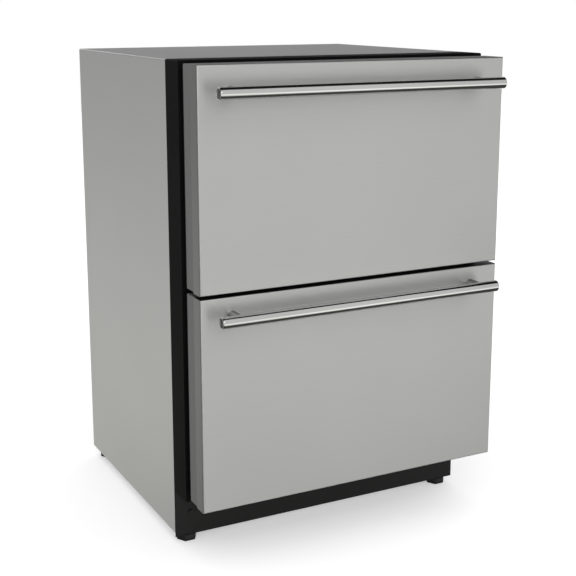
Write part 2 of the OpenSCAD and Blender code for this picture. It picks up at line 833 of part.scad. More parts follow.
// Blades cut from tilted cylinder walls, round a hub that turns on its shaft
module fan_wheel(r, hub_r, depth, shaft_r) {
  blades = 5;
  blade_t = 1.6;
  blade_tilt = 32;
  camber_r = r * 1.5;
  difference() {
    union() {
      cylinder(r = hub_r, h = depth);
      intersection() {
        cylinder(r = r, h = depth);
        for (i = [0 : blades - 1]) rotate([0, 0, i * 360 / blades])
          translate([0, 0, depth / 2]) rotate([blade_tilt, 0, 0])
            intersection() {
              slab([hub_r - 2, -depth, -camber_r], [r + over, depth, over]);
              translate([0, 0, -camber_r]) rotate([0, 90, 0]) difference() {
                cylinder(r = camber_r, h = 3 * r, center = true);
                cylinder(r = camber_r - blade_t, h = 3 * r + over, center = true);
              }
            }
      }
    }
    translate([0, 0, -over]) cylinder(r = shaft_r + fit, h = depth + 2 * over);
  }
}

module condenser_fan() {
  color([0.18, 0.18, 0.19]) translate([motor_x1 + 2, machine_mid, fan_z]) rotate([0, 90, 0])
    fan_wheel(condenser_fan_d / 2, condenser_hub_r, condenser_fan_h, condenser_shaft_r);
}

// A copper can with a cone at each end
module filter_drier() {
  r = drier_d / 2;
  color(copper) {
    rod_z(r, drier_z0, drier_z1, drier_x, drier_y);
    translate([drier_x, drier_y, drier_z0 - drier_cone]) cylinder(r1 = 4, r2 = r, h = drier_cone);
    translate([drier_x, drier_y, drier_z1]) cylinder(r1 = r, r2 = 3, h = drier_cone);
  }
}

// Hot gas from the compressor over the fan to the condenser's upper end
module discharge_tube() {
  port_drop = 63;
  riser = 24;
  side = 14;
  x = pump_x + pump_r;
  z = pump_top - port_drop;
  high = pump_top + 16;
  color(copper) pipe([
    [x + play, machine_mid, z], [x + riser, machine_mid, z], [x + riser, machine_mid, high],
    [coil_mid_x, machine_mid, high], [coil_mid_x, coil_y1 + side, high],
    [coil_mid_x, coil_y1 + side, coil_high_z], [coil_mid_x, coil_y1 + play, coil_high_z]
  ], discharge_r, tube_bend);
}

// Liquid from the condenser's lower end through the drier and up to the evaporator
module liquid_tube() {
  front_y = coil_y0 - 13;
  high = machine_z - 30;
  color(copper) {
    pipe([
      [coil_mid_x, coil_y0 - play, coil_low_z], [coil_mid_x, front_y, coil_low_z],
      [drier_x, front_y, coil_low_z], [drier_x, drier_y, coil_low_z],
      [drier_x, drier_y, drier_z0 - drier_cone - play]
    ], liquid_r, tube_bend);
    pipe([
      [drier_x, drier_y, drier_z1 + drier_cone + play], [drier_x, drier_y, high],
      [liquid_x, drier_y, high], [liquid_x, pipe_y, high], [liquid_x, pipe_y, evap_first_z],
      [evap_end_x + play, pipe_y, evap_first_z]
    ], liquid_r, tube_bend);
  }
}

// Cold gas from the evaporator down through the step to the compressor
module suction_tube() {
  port_z = 50;
  bend = 10;
  side = 14;
  x = pump_x + pump_r;
  down_x = x + 16;
  y = rear_y - side;
  z = pump_z + port_z;
  low = machine_z - side;
  color(copper) pipe([
    [evap_end_x + play, pipe_y, evap_last_z], [suction_x, pipe_y, evap_last_z],
    [suction_x, pipe_y, low], [suction_x, y, low], [down_x, y, low], [down_x, y, z],
    [down_x, machine_mid, z], [x + play, machine_mid, z]
  ], suction_r, bend);
}

// A tray on the compressor's warm top, where the drain water dries off
module drain_pan() {
  w = compressor_d - 6;
  wall = 2;
  corner_r = 14;
  color([0.2, 0.2, 0.2]) translate([pump_x, machine_mid, pump_top]) difference() {
    linear_extrude(drain_pan_h) soft_rect([-w / 2, -w / 2], [w / 2, w / 2], corner_r);
    translate([0, 0, wall]) linear_extrude(drain_pan_h)
      soft_rect([wall - w / 2, wall - w / 2], [w / 2 - wall, w / 2 - wall], corner_r - wall);
  }
}

// ---- Cold air ----

// The same kind of coil on its side, hung from the back wall by two end plates
module evaporator() {
  foot = 4;
  fins = floor(2 * evap_x / evaporator_pitch) - 1;
  y0 = evap_y - evaporator_d / 2;
  y1 = evap_y + evaporator_d / 2;
  points = coil_points(evaporator_passes, [evap_end_x, pipe_y], [-evap_end_x, pipe_y],
    evap_first_z, evap_step);
  color([0.75, 0.77, 0.79]) {
    pipe(points, coil_r, evap_bend);
    for (i = [0 : fins]) {
      x = (i - fins / 2) * evaporator_pitch;
      slab([x - fin_t / 2, y0, evap_z0], [x + fin_t / 2, y1, evap_z0 + evaporator_h]);
    }
    both_sides() slab([evap_x - plate_t, y0, evap_z0 - foot],
      [evap_x, cavity_y1, evap_z0 + evaporator_h + foot]);
  }
}

// A shallow tray in front of the coil: a ring guard for the fan above, air slots below
module evaporator_cover() {
  z0 = step_z + cover_low;
  z1 = cavity_z1 - 2;
  guard_r0 = 14;
  guard_pitch = 9;
  guard_gap = 6;
  slot_w = 5;
  slot_h = 46;
  slot_pitch = 14;
  rings = floor((cold_fan_d / 2 + 2 - guard_r0) / guard_pitch);
  slots = floor((2 * cover_x - 60) / slot_pitch);
  front = cover_y - over;
  back = cover_y + cover_t + over;
  color(white) difference() {
    slab([-cover_x, cover_y, z0], [cover_x, cavity_y1, z1]);
    slab([cover_t - cover_x, cover_y + cover_t, z0 + cover_t],
      [cover_x - cover_t, cavity_y1 + over, z1 - cover_t]);
    tube_holes(z0, z0 + cover_t);
    difference() {
      for (i = [1 : rings]) difference() {
        rod_y(guard_r0 + i * guard_pitch, front, back, 0, cold_fan_z);
        rod_y(guard_r0 + i * guard_pitch - guard_gap, front - over, back + over, 0, cold_fan_z);
      }
      for (turn = [0, 60, 120]) translate([0, cover_y, cold_fan_z]) rotate([0, turn, 0])
        cube([cold_fan_d + 10, 6 * cover_t, 3], center = true);
    }
    for (i = [0 : slots]) along_y(front, back)
      translate([(i - slots / 2) * slot_pitch - slot_w / 2, z0 + slot_pitch])
        soft_rect([0, 0], [slot_w, slot_h], slot_w / 2 - 0.01);
  }
}

module evaporator_fan_motor() {
  y0 = cavity_y1 - cold_motor_h;
  color([0.2, 0.2, 0.2]) {
    rod_y(cold_motor_d / 2, y0, cavity_y1, 0, cold_fan_z);
    rod_y(cold_shaft_r, y0 - cold_fan_h - 2, y0 + over, 0, cold_fan_z);
  }
}

module evaporator_fan() {
  color([0.18, 0.18, 0.19]) translate([0, cavity_y1 - cold_motor_h - 2, cold_fan_z])
    rotate([90, 0, 0]) fan_wheel(cold_fan_d / 2, cold_hub_r, cold_fan_h, cold_shaft_r);
}

// A trough under the evaporator with a spout down through the step
module drain_trough() {
  top = evap_z0 - 6;
  low = top - trough_d;
  wall = 1.5;
  x = evap_x + 6;
  y0 = cover_y + cover_t + 2;
  color(white) difference() {
    union() {
      slab([-x, y0, low], [x, cavity_y1, top]);
      rod_z(spout_r, pump_top + 10, low + over, pump_x, pipe_y);
    }
    slab([wall - x, y0 + wall, low + wall], [x - wall, cavity_y1 - wall, top + over]);
    rod_z(spout_r - wall, pump_top, low + 2 * wall, pump_x, pipe_y);
  }
}

// ---- Controls ----

// A touch strip under the ceiling whose face slopes towards the user
module control_panel() {
  y = wrapper_y + 8;
  edge = 5;
  slope_d = 42;
  color(black) along_x(-control_w / 2, control_w / 2) polygon([
    [y, cavity_z1], [y, cavity_z1 - edge], [y + slope_d, cavity_z1 - control_h],
    [y + control_d, cavity_z1 - control_h], [y + control_d, cavity_z1]
  ]);
}

module light_strip() {
  y = wrapper_y + control_d + 30;
  r = 3;
  color(white) along_x(-light_l / 2, light_l / 2) translate([y, cavity_z1 - light_h]) {
    translate([0, r]) square([light_w, light_h - r]);
    translate([r, 0]) square([light_w - 2 * r, light_h]);
    for (a = [r, light_w - r]) translate([a, r]) circle(r);
  }
}

// A closed box for the electrical parts, with air slots in its back
module power_box() {
  wall = 2;
  slots = 6;
  slot_h = 2.5;
  slot_pitch = 6;
  slot_side = 15;
  x0 = half_w - power_box_w - 14;
  x1 = x0 + power_box_w;
  y0 = machine_y + 14;
  y1 = y0 + power_box_d;
  z1 = pan_z + power_box_h;
  color([0.25, 0.26, 0.27]) difference() {
    slab([x0, y0, pan_z], [x1, y1, z1]);
    slab([x0 + wall, y0 + wall, pan_z + wall], [x1 - wall, y1 - wall, z1 - wall]);
    for (i = [1 : slots]) slab([x0 + slot_side, y1 - wall - over, z1 - i * slot_pitch],
      [x1 - slot_side, y1 + over, z1 - i * slot_pitch + slot_h]);
  }
}

// A flanged bush in the rear panel
module cord_gland() {
  inner_l = 14;
  flange_w = 4;
  flange_t = 3;
  groove = 1;
  color([0.1, 0.1, 0.1]) difference() {
    union() {
      rod_y(gland_r + flange_w, rear_y + 1, rear_y + 1 + flange_t, gland_x, gland_z);
      rod_y(gland_r - play, rear_y - groove, rear_y + 1 + groove, gland_x, gland_z);
      rod_y(gland_r + 2, rear_y - inner_l, rear_y, gland_x, gland_z);
    }
    rod_y(gland_bore / 2, rear_y - inner_l - over, back_y + over, gland_x, gland_z);
  }
}

// ---- Slides ----

// A channel on the cavity's right wall, from u0 to u1 off it, with its web at either side
module channel(u0, u1, half_h, web_at_wall, y0, y1, z) {
  inner0 = web_at_wall ? u0 + slide_t : u0 - over;
  inner1 = web_at_wall ? u1 + over : u1 - slide_t;
  along_y(y0, y1) translate([cavity_x, z]) mirror([1, 0]) difference() {
    translate([u0, -half_h]) square([u1 - u0, 2 * half_h]);
    translate([inner0, slide_t - half_h]) square([inner1 - inner0, 2 * (half_h - slide_t)]);
  }
}

// The outer members, screwed to the cavity's walls
module cabinet_slides(k) {
  color(zinc) both_sides() difference() {
    channel(0, slide_w - 2 * slide_gap, slide_h / 2, true, slide_y0, slide_y1, slide_z(k));
    for (y = [slide_y0 + 30, slide_y1 - 30])
      rod_x(2.2, cavity_x - slide_t - over, cavity_x + over, y, slide_z(k));
  }
}

// The members between, which run out half as far as the drawer
module middle_slides(k) {
  color(steel) both_sides()
    channel(slide_step, slide_w - 3 * slide_gap, middle_half, true, slide_y0 + 2, slide_y1 - 12,
      slide_z(k));
}

// The inner members, which carry the brackets
module drawer_slides(k) {
  color(zinc) both_sides()
    channel(2 * slide_step, slide_w, inner_half, false, slide_y0, slide_y1 - 4, slide_z(k));
}

module upper_cabinet_slides() {
  cabinet_slides(1);
}

module upper_middle_slides() {
  middle_slides(1);
}

module upper_drawer_slides() {
  drawer_slides(1);
}

module lower_cabinet_slides() {
  cabinet_slides(0);
}

module lower_middle_slides() {
  middle_slides(0);
}

module lower_drawer_slides() {
  drawer_slides(0);
}

// ---- Drawers ----

module post_holes(k, r, y0, y1) {
  both_sides() rod_y(r, y0, y1, post_x, handle_z(k));
}

// A stainless sheet folded back at all four sides
module front_panel(k) {
  z0 = front_z0(k);
  z1 = front_z1(k);
  color(steel) {
    difference() {
      translate([0, 0, z0]) linear_extrude(front_h) difference() {
        translate([0, skin_y]) mirror([0, 1]) arch(front_w, skin_d, skin_r);
        translate([0, skin_y + over]) mirror([0, 1])
          arch(front_w - 2 * skin_t, skin_d + over - skin_t, skin_r - skin_t);
      }
      post_holes(k, post_screw_d / 2 + screw_clear, face_y - over, face_y + skin_t + over);
    }
    for (z = [z0, z1 - skin_t]) translate([0, 0, z]) linear_extrude(skin_t)
      translate([0, skin_y]) mirror([0, 1])
        arch(front_w - skin_t, skin_d - skin_t / 2, skin_r - skin_t / 2);
  }
}

// A square ring along the seal's middle line, from t0 to t1 off it and from y0 to y1
module seal_band(k, t0, t1, y0, y1) {
  mid = seal_inset + seal_w / 2;
  x = half_front - mid;
  z0 = tray_z0(k) + mid;
  z1 = front_z1(k) - mid;
  difference() {
    slab([-x - t1, y0, z0 - t1], [x + t1, y1, z1 + t1]);
    slab([-x - t0, y0 - over, z0 - t0], [x + t0, y1 + over, z1 + t0]);
  }
}

// The groove for the seal's barb, grown by a wall
module seal_groove(k, y0, y1, wall) {
  w = dart_w / 2 + play + wall;
  seal_band(k, -w, w, y0, y1);
}

// The hollow in the fronts that the foam fills
module core_space(k, back_wall) {
  translate([0, skin_y, front_z0(k) + skin_t]) linear_extrude(front_h - 2 * skin_t)
    mirror([0, 1]) arch(front_w - 2 * skin_t, skin_d - skin_t, skin_r - skin_t);
  slab([tray_t - half_front, skin_y - over, tray_z0(k) + tray_t],
    [half_front - tray_t, seal_y - tray_t, front_z1(k) - tray_t]);
  slab([tray_t - dam_x, seal_y - tray_t - over, open_z0(k) + dam_gap + tray_t],
    [dam_x - tray_t, dam_y - tray_t, open_z1(k) - dam_gap - tray_t]);
}

module front_core(k) {
  head_r = post_screw_d + play;
  color([0.93, 0.86, 0.62]) difference() {
    core_space(k);
    seal_groove(k, seal_y - dart_l - play - tray_t, seal_y, tray_t);
    post_holes(k, head_r, face_y, face_y + skin_t + 3 + play);
  }
}

// The inner tray with its dam and the groove for the seal
module front_liner(k) {
  groove_y = seal_y - dart_l - play;
  color([0.6, 0.6, 0.6]) difference() {
    union() {
      difference() {
        union() {
          slab([-half_front, skin_y, tray_z0(k)], [half_front, seal_y, front_z1(k)]);
          slab([-dam_x, seal_y - over, open_z0(k) + dam_gap],
            [dam_x, dam_y, open_z1(k) - dam_gap]);
        }
        core_space(k);
      }
      seal_groove(k, groove_y - tray_t, seal_y, tray_t);
    }
    seal_groove(k, groove_y, seal_y + over, 0);
  }
}

// The seal from the front back: a barb, a base, folded bellows and a pocket for the magnet
module gasket(k) {
  wall = 1.2;
  base = 2.5;
  pocket = 5;
  half = seal_w / 2;
  narrow = half - 2;
  barb = dart_w / 2;
  stem = barb - 1;
  bellows_y0 = seal_y + base;
  bellows_y1 = frame_y - play - pocket;
  fold_y0 = (bellows_y0 + bellows_y1) / 2 - 2;
  fold_y1 = fold_y0 + 4;
  color([0.08, 0.08, 0.08]) difference() {
    union() {
      seal_band(k, -stem, stem, seal_y - dart_l, seal_y + over);
      seal_band(k, -barb, barb, seal_y - dart_l + 1, seal_y - dart_l + 3);
      seal_band(k, -half, half, seal_y, bellows_y0);
      seal_band(k, -narrow, narrow, seal_y, frame_y - play);
      seal_band(k, -half, half, fold_y0, fold_y1);
      seal_band(k, 0.5 - half, half - 0.5, bellows_y1, frame_y - play);
    }
    for (t = [wall - narrow, wall / 2])
      seal_band(k, t, t + narrow - 1.5 * wall, bellows_y0, bellows_y1);
  }
}

// A round bar with chamfered ends
module handle_bar(k) {
  r = handle_d / 2;
  straight = handle_l / 2 - handle_chamfer;
  color(steel) {
    rod_x(r, -straight, straight, bar_y, handle_z(k));
    both_sides() translate([straight, bar_y, handle_z(k)]) rotate([0, 90, 0])
      cylinder(r1 = r, r2 = r - handle_chamfer, h = handle_chamfer);
  }
}

// Round posts whose ends are cut to the bar's curve
module handle_posts(k) {
  color(steel) both_sides() difference() {
    rod_y(post_d / 2, bar_y, face_y, post_x, handle_z(k));
    rod_x(handle_d / 2 + fit, post_x - post_d, post_x + post_d, bar_y, handle_z(k));
    rod_y(post_screw_d / 2 + fit, face_y - post_screw_l - play, face_y + over, post_x,
      handle_z(k));
  }
}

module handle_screws(k) {
  color(zinc) both_sides() {
    rod_y(post_screw_d / 2, face_y - post_screw_l, face_y + skin_t + over, post_x, handle_z(k));
    rod_y(post_screw_d, face_y + skin_t, face_y + skin_t + 3, post_x, handle_z(k));
  }
}

// Folded steel from the front's dam back along the slides, with a ledge for the bin's rim
module side_brackets(k) {
  z0 = slide_z(k) - inner_half + 3;
  z1 = rim_z(k) - rim_t;
  color(zinc) both_sides() {
    slab([bracket_x - bracket_t, dam_y, z0], [bracket_x, slide_y1 - 4, z1]);
    slab([bracket_x - bracket_t - ledge_w, dam_y, z1 - bracket_t],
      [bracket_x, bin_y1(k) + 2, z1]);
    slab([bracket_x - 30, dam_y, z0], [bracket_x, dam_y + bracket_t, z1]);
  }
}

// A moulded bin that hangs by its rim, with air slots in its back and ribs under its floor
module drawer_bin(k) {
  z0 = bin_z0(k);
  z1 = rim_z(k);
  y1 = bin_y1(k);
  slots = floor((2 * bin_x - 2 * bin_r - 20) / 24);
  rib = 3;
  color(white) difference() {
    union() {
      translate([0, 0, z0 + rib]) linear_extrude(z1 - z0 - rib)
        soft_rect([-bin_x, bin_y0], [bin_x, y1], bin_r);
      translate([0, 0, z1 - rim_t]) linear_extrude(rim_t)
        soft_rect([-rim_x, bin_y0 - 1], [rim_x, y1 + 2], bin_r);
      for (i = [-3 : 3]) slab([i * bin_x / 4 - 1.25, bin_y0 + bin_r, z0],
        [i * bin_x / 4 + 1.25, y1 - bin_r, z0 + rib + over]);
    }
    translate([0, 0, z0 + rib + bin_t]) linear_extrude(z1 - z0)
      soft_rect([bin_t - bin_x, bin_y0 + bin_t], [bin_x - bin_t, y1 - bin_t], bin_r - bin_t);
    for (i = [0 : slots]) along_y(y1 - bin_t - over, y1 + 2 + over)
      translate([(i - slots / 2) * 24 - 3, z1 - rim_t - 50]) soft_rect([0, 0], [6, 40], 2.99);
  }
}

module upper_front_panel() {
  front_panel(1);
}

module upper_front_core() {
  front_core(1);
}

module upper_front_liner() {
  front_liner(1);
}

module upper_gasket() {
  gasket(1);
}

module upper_handle_bar() {
  handle_bar(1);
}

module upper_handle_posts() {
  handle_posts(1);
}

module upper_handle_screws() {
  handle_screws(1);
}

module upper_side_brackets() {
  side_brackets(1);
}

module upper_bin() {
  drawer_bin(1);
}

module lower_front_panel() {
  front_panel(0);
}

module lower_front_core() {
  front_core(0);
}

module lower_front_liner() {
  front_liner(0);
}

module lower_gasket() {
  gasket(0);
}

module lower_handle_bar() {
  handle_bar(0);
}

module lower_handle_posts() {
  handle_posts(0);
}

module lower_handle_screws() {
  handle_screws(0);
}

module lower_side_brackets() {
  side_brackets(0);
}

module lower_bin() {
  drawer_bin(0);
}

cabinet_wrapper();
rear_panel();
rear_grille();
foam_insulation();
inner_liner();
front_frame();
mullion_rail();
bottom_deck();
base_pan();
kick_plate();
kick_plate_screws();
leg_front_left();
leg_front_right();
leg_rear_left();
leg_rear_right();
compressor();
compressor_grommets();
condenser();
fan_shroud();
condenser_fan_motor();
condenser_fan();
filter_drier();
discharge_tube();
liquid_tube();
suction_tube();
drain_pan();
evaporator();
evaporator_cover();
evaporator_fan_motor();
evaporator_fan();
drain_trough();
control_panel();
light_strip();
power_box();
cord_gland();
upper_cabinet_slides();
upper_middle_slides();
upper_drawer_slides();
lower_cabinet_slides();
lower_middle_slides();
lower_drawer_slides();
upper_front_panel();
upper_front_core();
upper_front_liner();
upper_gasket();
upper_handle_bar();
upper_handle_posts();
upper_handle_screws();
upper_side_brackets();
upper_bin();
lower_front_panel();
lower_front_core();
lower_front_liner();
lower_gasket();
lower_handle_bar();
lower_handle_posts();
lower_handle_screws();
lower_side_brackets();
lower_bin();
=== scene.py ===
import math

import bmesh
import bpy
from mathutils import Matrix, Vector


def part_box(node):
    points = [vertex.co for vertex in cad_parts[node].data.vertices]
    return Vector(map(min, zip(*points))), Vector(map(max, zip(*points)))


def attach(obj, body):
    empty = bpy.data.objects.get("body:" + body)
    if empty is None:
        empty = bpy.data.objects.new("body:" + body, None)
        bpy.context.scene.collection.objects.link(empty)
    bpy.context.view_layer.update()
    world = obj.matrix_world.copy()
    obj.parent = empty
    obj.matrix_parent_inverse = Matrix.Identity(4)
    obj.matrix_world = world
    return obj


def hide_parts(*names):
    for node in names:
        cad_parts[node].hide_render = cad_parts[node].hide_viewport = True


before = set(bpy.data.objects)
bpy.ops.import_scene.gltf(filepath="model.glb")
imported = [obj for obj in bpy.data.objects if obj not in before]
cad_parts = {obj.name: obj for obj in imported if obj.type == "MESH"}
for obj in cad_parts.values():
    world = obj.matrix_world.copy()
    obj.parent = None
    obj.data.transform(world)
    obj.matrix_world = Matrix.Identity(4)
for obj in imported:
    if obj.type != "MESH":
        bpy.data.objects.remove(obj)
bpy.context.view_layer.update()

# ---- Studio ----
# A white tent on a pale floor: its walls glow softly, its top is open and dark, and one soft
# lamp stands in front at the left. The camera stands at the photograph's viewing angle.

scene = bpy.context.scene
scene.view_settings.view_transform = "Standard"


def add(tree, kind, inputs=None, **settings):
    """A new shader node; an input's value is a number, a colour, or a socket to link from."""
    node = tree.nodes.new("ShaderNode" + kind)
    for name, value in settings.items():
        setattr(node, name, value)
    for name, value in (inputs or {}).items():
        if isinstance(value, bpy.types.NodeSocket):
            tree.links.new(value, node.inputs[name])
        else:
            node.inputs[name].default_value = value
    return node


def spread(tree, value, low, high, to_low=0.0, to_high=1.0):
    """Map a value from one range to another, held inside it."""
    node = add(tree, "MapRange", {
        "Value": value, "From Min": low, "From Max": high, "To Min": to_low, "To Max": to_high,
    })
    return node.outputs["Result"]


def reckon(tree, operation, first, second):
    """A sum, product or the like of two values."""
    node = add(tree, "Math", {0: first, 1: second}, operation=operation)
    return node.outputs[0]


def times(tree, first, *others):
    """The product of several values."""
    for other in others:
        first = reckon(tree, "MULTIPLY", first, other)
    return first


world = bpy.data.worlds.new("studio_surround")
scene.world = world
world.use_nodes = True
tree = world.node_tree
direction = add(tree, "TexCoord").outputs["Generated"]
axes = add(tree, "SeparateXYZ", {0: direction})
right, back, up = axes.outputs["X"], axes.outputs["Y"], axes.outputs["Z"]

# Seen from the side, the dark opening lies overhead and a little to the back, and the dark
# edge of the floor lies low in front
side_on = add(tree, "VectorMath", {0: direction, 1: (0.0, 1.0, 1.0)}, operation="MULTIPLY")
side_on = add(tree, "VectorMath", {0: side_on.outputs["Vector"]}, operation="NORMALIZE")
side_on = side_on.outputs["Vector"]
opening_middle = (0.0, 0.182, 0.983)
overhead = add(tree, "VectorMath", {0: side_on, 1: opening_middle}, operation="DOT_PRODUCT")
opening = spread(tree, overhead.outputs["Value"], 0.82, 0.845, 1.0, 0.02)
underneath = add(tree, "VectorMath", {0: side_on, 1: (0.0, 0.0, -1.0)}, operation="DOT_PRODUCT")
floor_edge = spread(tree, underneath.outputs["Value"], 0.63, 0.67, 1.0, 0.1)

# The walls are brightest a little above the floor
wall = times(tree, spread(tree, up, -0.34, 0.0, 1.32, 0.68),
             spread(tree, up, -0.5, -0.35, 0.5, 1.0))

# The back wall dims upwards and in its middle, where a narrow bright strip lights the fold
# between the cabinet's side and top
back_wall = reckon(tree, "ADD", spread(tree, right, -0.6, -0.05, 1.29, 0.56),
                   spread(tree, right, -0.05, 0.3, 0.0, 0.46))
back_wall = times(tree, spread(tree, up, 0.1, 0.35, 1.0, 0.45), back_wall,
                  spread(tree, up, -0.35, -0.02, 0.86, 1.0))
strip = times(tree, spread(tree, right, -0.24, -0.14, 0.0, 2.6),
              spread(tree, right, 0.04, 0.14, 1.0, 0.0), spread(tree, up, 0.13, 0.21))
back_wall = reckon(tree, "ADD", back_wall, strip)

# The front wall dims to the right, and has a dark seam and a bright panel at the far left
front_wall = times(tree, spread(tree, right, 0.5, 0.9, 1.0, 0.84),
                   spread(tree, right, 0.25, 0.5, 0.93, 1.0),
                   spread(tree, right, -0.42, -0.33, 0.05, 1.0))
front_wall = reckon(tree, "ADD", front_wall, spread(tree, right, -0.78, -0.7, 1.2, 0.0))
walls = add(tree, "Mix", {"Factor": spread(tree, back, -0.3, 0.8), "A": front_wall,
                          "B": back_wall}, data_type="FLOAT")
mirrored = times(tree, opening, floor_edge, wall, walls.outputs["Result"])

# Gloss mirrors the tent, other light comes evenly, and the camera sees plain white behind
soft_light = 0.88
sight = add(tree, "LightPath")
surround = add(tree, "Mix", {"Factor": sight.outputs["Is Glossy Ray"], "A": soft_light,
                             "B": mirrored}, data_type="FLOAT")
seen = reckon(tree, "MAXIMUM", sight.outputs["Is Camera Ray"], sight.outputs["Is Transmission Ray"])
strength = add(tree, "Mix", {"Factor": seen, "A": surround.outputs["Result"], "B": 1.0},
               data_type="FLOAT")
tree.links.new(strength.outputs["Result"], tree.nodes["Background"].inputs["Strength"])
warmth = times(tree, sight.outputs["Is Glossy Ray"], spread(tree, up, 0.0, -0.3))
hue = add(tree, "Mix", {"Factor": warmth, "A": (1.0, 1.0, 1.0, 1.0), "B": (1.0, 1.0, 0.955, 1.0)},
          data_type="RGBA")
tree.links.new(hue.outputs["Result"], tree.nodes["Background"].inputs["Color"])

bpy.ops.object.select_all(action="DESELECT")
bpy.ops.mesh.primitive_plane_add(size=16.0)
floor = bpy.context.object
floor.name = "floor"
floor_paint = bpy.data.materials.new("floor_paint")
floor_paint.use_nodes = True
tree = floor_paint.node_tree
shade = add(tree, "TexNoise", {"Vector": add(tree, "TexCoord").outputs["Object"], "Scale": 3.0})
sight = add(tree, "LightPath")
lift = reckon(tree, "MULTIPLY", sight.outputs["Is Camera Ray"], 0.4)
surface = tree.nodes["Principled BSDF"]
surface.inputs["Roughness"].default_value = 0.8
surface.inputs["Specular IOR Level"].default_value = 0.1
surface.inputs["Emission Color"].default_value = (1.0, 1.0, 1.0, 1.0)
tree.links.new(lift, surface.inputs["Emission Strength"])
tint = add(tree, "Mix", {"Factor": shade.outputs["Fac"], "A": (0.80, 0.80, 0.80, 1.0),
                         "B": (0.84, 0.84, 0.84, 1.0)}, data_type="RGBA")
tree.links.new(tint.outputs["Result"], surface.inputs["Base Color"])
bare = add(tree, "MixShader", {
    0: sight.outputs["Is Glossy Ray"], 1: surface.outputs["BSDF"],
    2: add(tree, "BsdfTransparent").outputs["BSDF"]})
tree.links.new(bare.outputs["Shader"], tree.nodes["Material Output"].inputs["Surface"])
floor.data.materials.append(floor_paint)

bpy.ops.object.light_add(type="AREA", location=(-1.2, -3.3, 2.6))
key = bpy.context.object
key.name = "soft_key"
key.data.shape = "RECTANGLE"
key.data.size = 2.4
key.data.size_y = 2.0
key.data.energy = 40.0
middle = Vector((0.0, 0.0, 0.45))
key.rotation_euler = (middle - key.location).to_track_quat("-Z", "Y").to_euler()

bpy.ops.object.camera_add(location=(-1.006, -1.960, 0.969))
camera = bpy.context.object
camera.name = "photo_camera"
tilt_down, turn_right = 11.88, 27.32
camera.rotation_euler = (math.radians(90.0 - tilt_down), 0.0, -math.radians(turn_right))
camera.data.sensor_width = 36.0
camera.data.lens = 71.3
camera.data.shift_y = -0.08
scene.camera = camera

# ---- Cabinet wrapper ----
# One stainless sheet folded over the top and both sides, with short return flanges round the
# front edge. It is brushed to a satin grain before folding and foamed to the inner liner.


def group(name, inputs, outputs):
    """A new node group with its input and output nodes."""
    tree = bpy.data.node_groups.new(name, "ShaderNodeTree")
    for label, kind in inputs:
        tree.interface.new_socket(label, in_out="INPUT", socket_type="NodeSocket" + kind)
    for label, kind in outputs:
        tree.interface.new_socket(label, in_out="OUTPUT", socket_type="NodeSocket" + kind)
    return tree, tree.nodes.new("NodeGroupInput"), tree.nodes.new("NodeGroupOutput")


# Rounded edges that catch the light, and a mask of rubbed patches along them
worn_edges, given, result = group(
    "worn_edges", [("Vector", "Vector"), ("Radius", "Float")],
    [("Edge", "Float"), ("Wear", "Float"), ("Normal", "Vector")])
rounded = add(worn_edges, "Bevel", {"Radius": given.outputs["Radius"]}, samples=6)
flat = add(worn_edges, "NewGeometry")
turn = add(worn_edges, "VectorMath", {
    0: rounded.outputs["Normal"], 1: flat.outputs["Normal"]}, operation="DOT_PRODUCT")
edge = spread(worn_edges, turn.outputs["Value"], 0.99, 0.8)
rubbed = add(worn_edges, "TexNoise", {
    "Vector": given.outputs["Vector"], "Scale": 120.0, "Detail": 5.0, "Roughness": 0.7})
patches = spread(worn_edges, rubbed.outputs["Fac"], 0.42, 0.62)
wear = reckon(worn_edges, "MULTIPLY", edge, patches)
worn_edges.links.new(edge, result.inputs["Edge"])
worn_edges.links.new(wear, result.inputs["Wear"])
worn_edges.links.new(rounded.outputs["Normal"], result.inputs["Normal"])

# The long fine lines that an abrasive belt leaves, for a vector stretched across them
brushed_grain, given, result = group(
    "brushed_grain", [("Vector", "Vector")], [("Lines", "Float"), ("Height", "Float")])
coarse = add(brushed_grain, "TexNoise", {
    "Vector": given.outputs["Vector"], "Scale": 1.0, "Detail": 3.0, "Roughness": 0.6})
fine = add(brushed_grain, "TexNoise", {
    "Vector": given.outputs["Vector"], "Scale": 3.3, "Detail": 6.0, "Roughness": 0.75})
lines = reckon(brushed_grain, "MULTIPLY", reckon(
    brushed_grain, "ADD", coarse.outputs["Fac"], fine.outputs["Fac"]), 0.5)
brushed_grain.links.new(lines, result.inputs["Lines"])
brushed_grain.links.new(fine.outputs["Fac"], result.inputs["Height"])

# Broad soft unevenness, as of handling and cleaning
cloudy, given, result = group(
    "cloudy", [("Vector", "Vector"), ("Scale", "Float")], [("Cloud", "Float")])
cloud = add(cloudy, "TexNoise", {
    "Vector": given.outputs["Vector"], "Scale": given.outputs["Scale"], "Detail": 3.0,
    "Roughness": 0.55, "Distortion": 0.4})
cloudy.links.new(spread(cloudy, cloud.outputs["Fac"], 0.3, 0.7), result.inputs["Cloud"])


def blank(name):
    """A new material with its node tree, its surface shader and its object coordinates."""
    paint = bpy.data.materials.new(name)
    paint.use_nodes = True
    tree = paint.node_tree
    return paint, tree, tree.nodes["Principled BSDF"], add(tree, "TexCoord").outputs["Object"]


def mixed(tree, factor, first, second):
    """A colour between two colours."""
    node = add(tree, "Mix", {"Factor": factor}, data_type="RGBA")
    for socket, colour in ((node.inputs[6], first), (node.inputs[7], second)):
        if isinstance(colour, bpy.types.NodeSocket):
            tree.links.new(colour, socket)
        else:
            socket.default_value = (*colour, 1.0)
    return node.outputs[2]


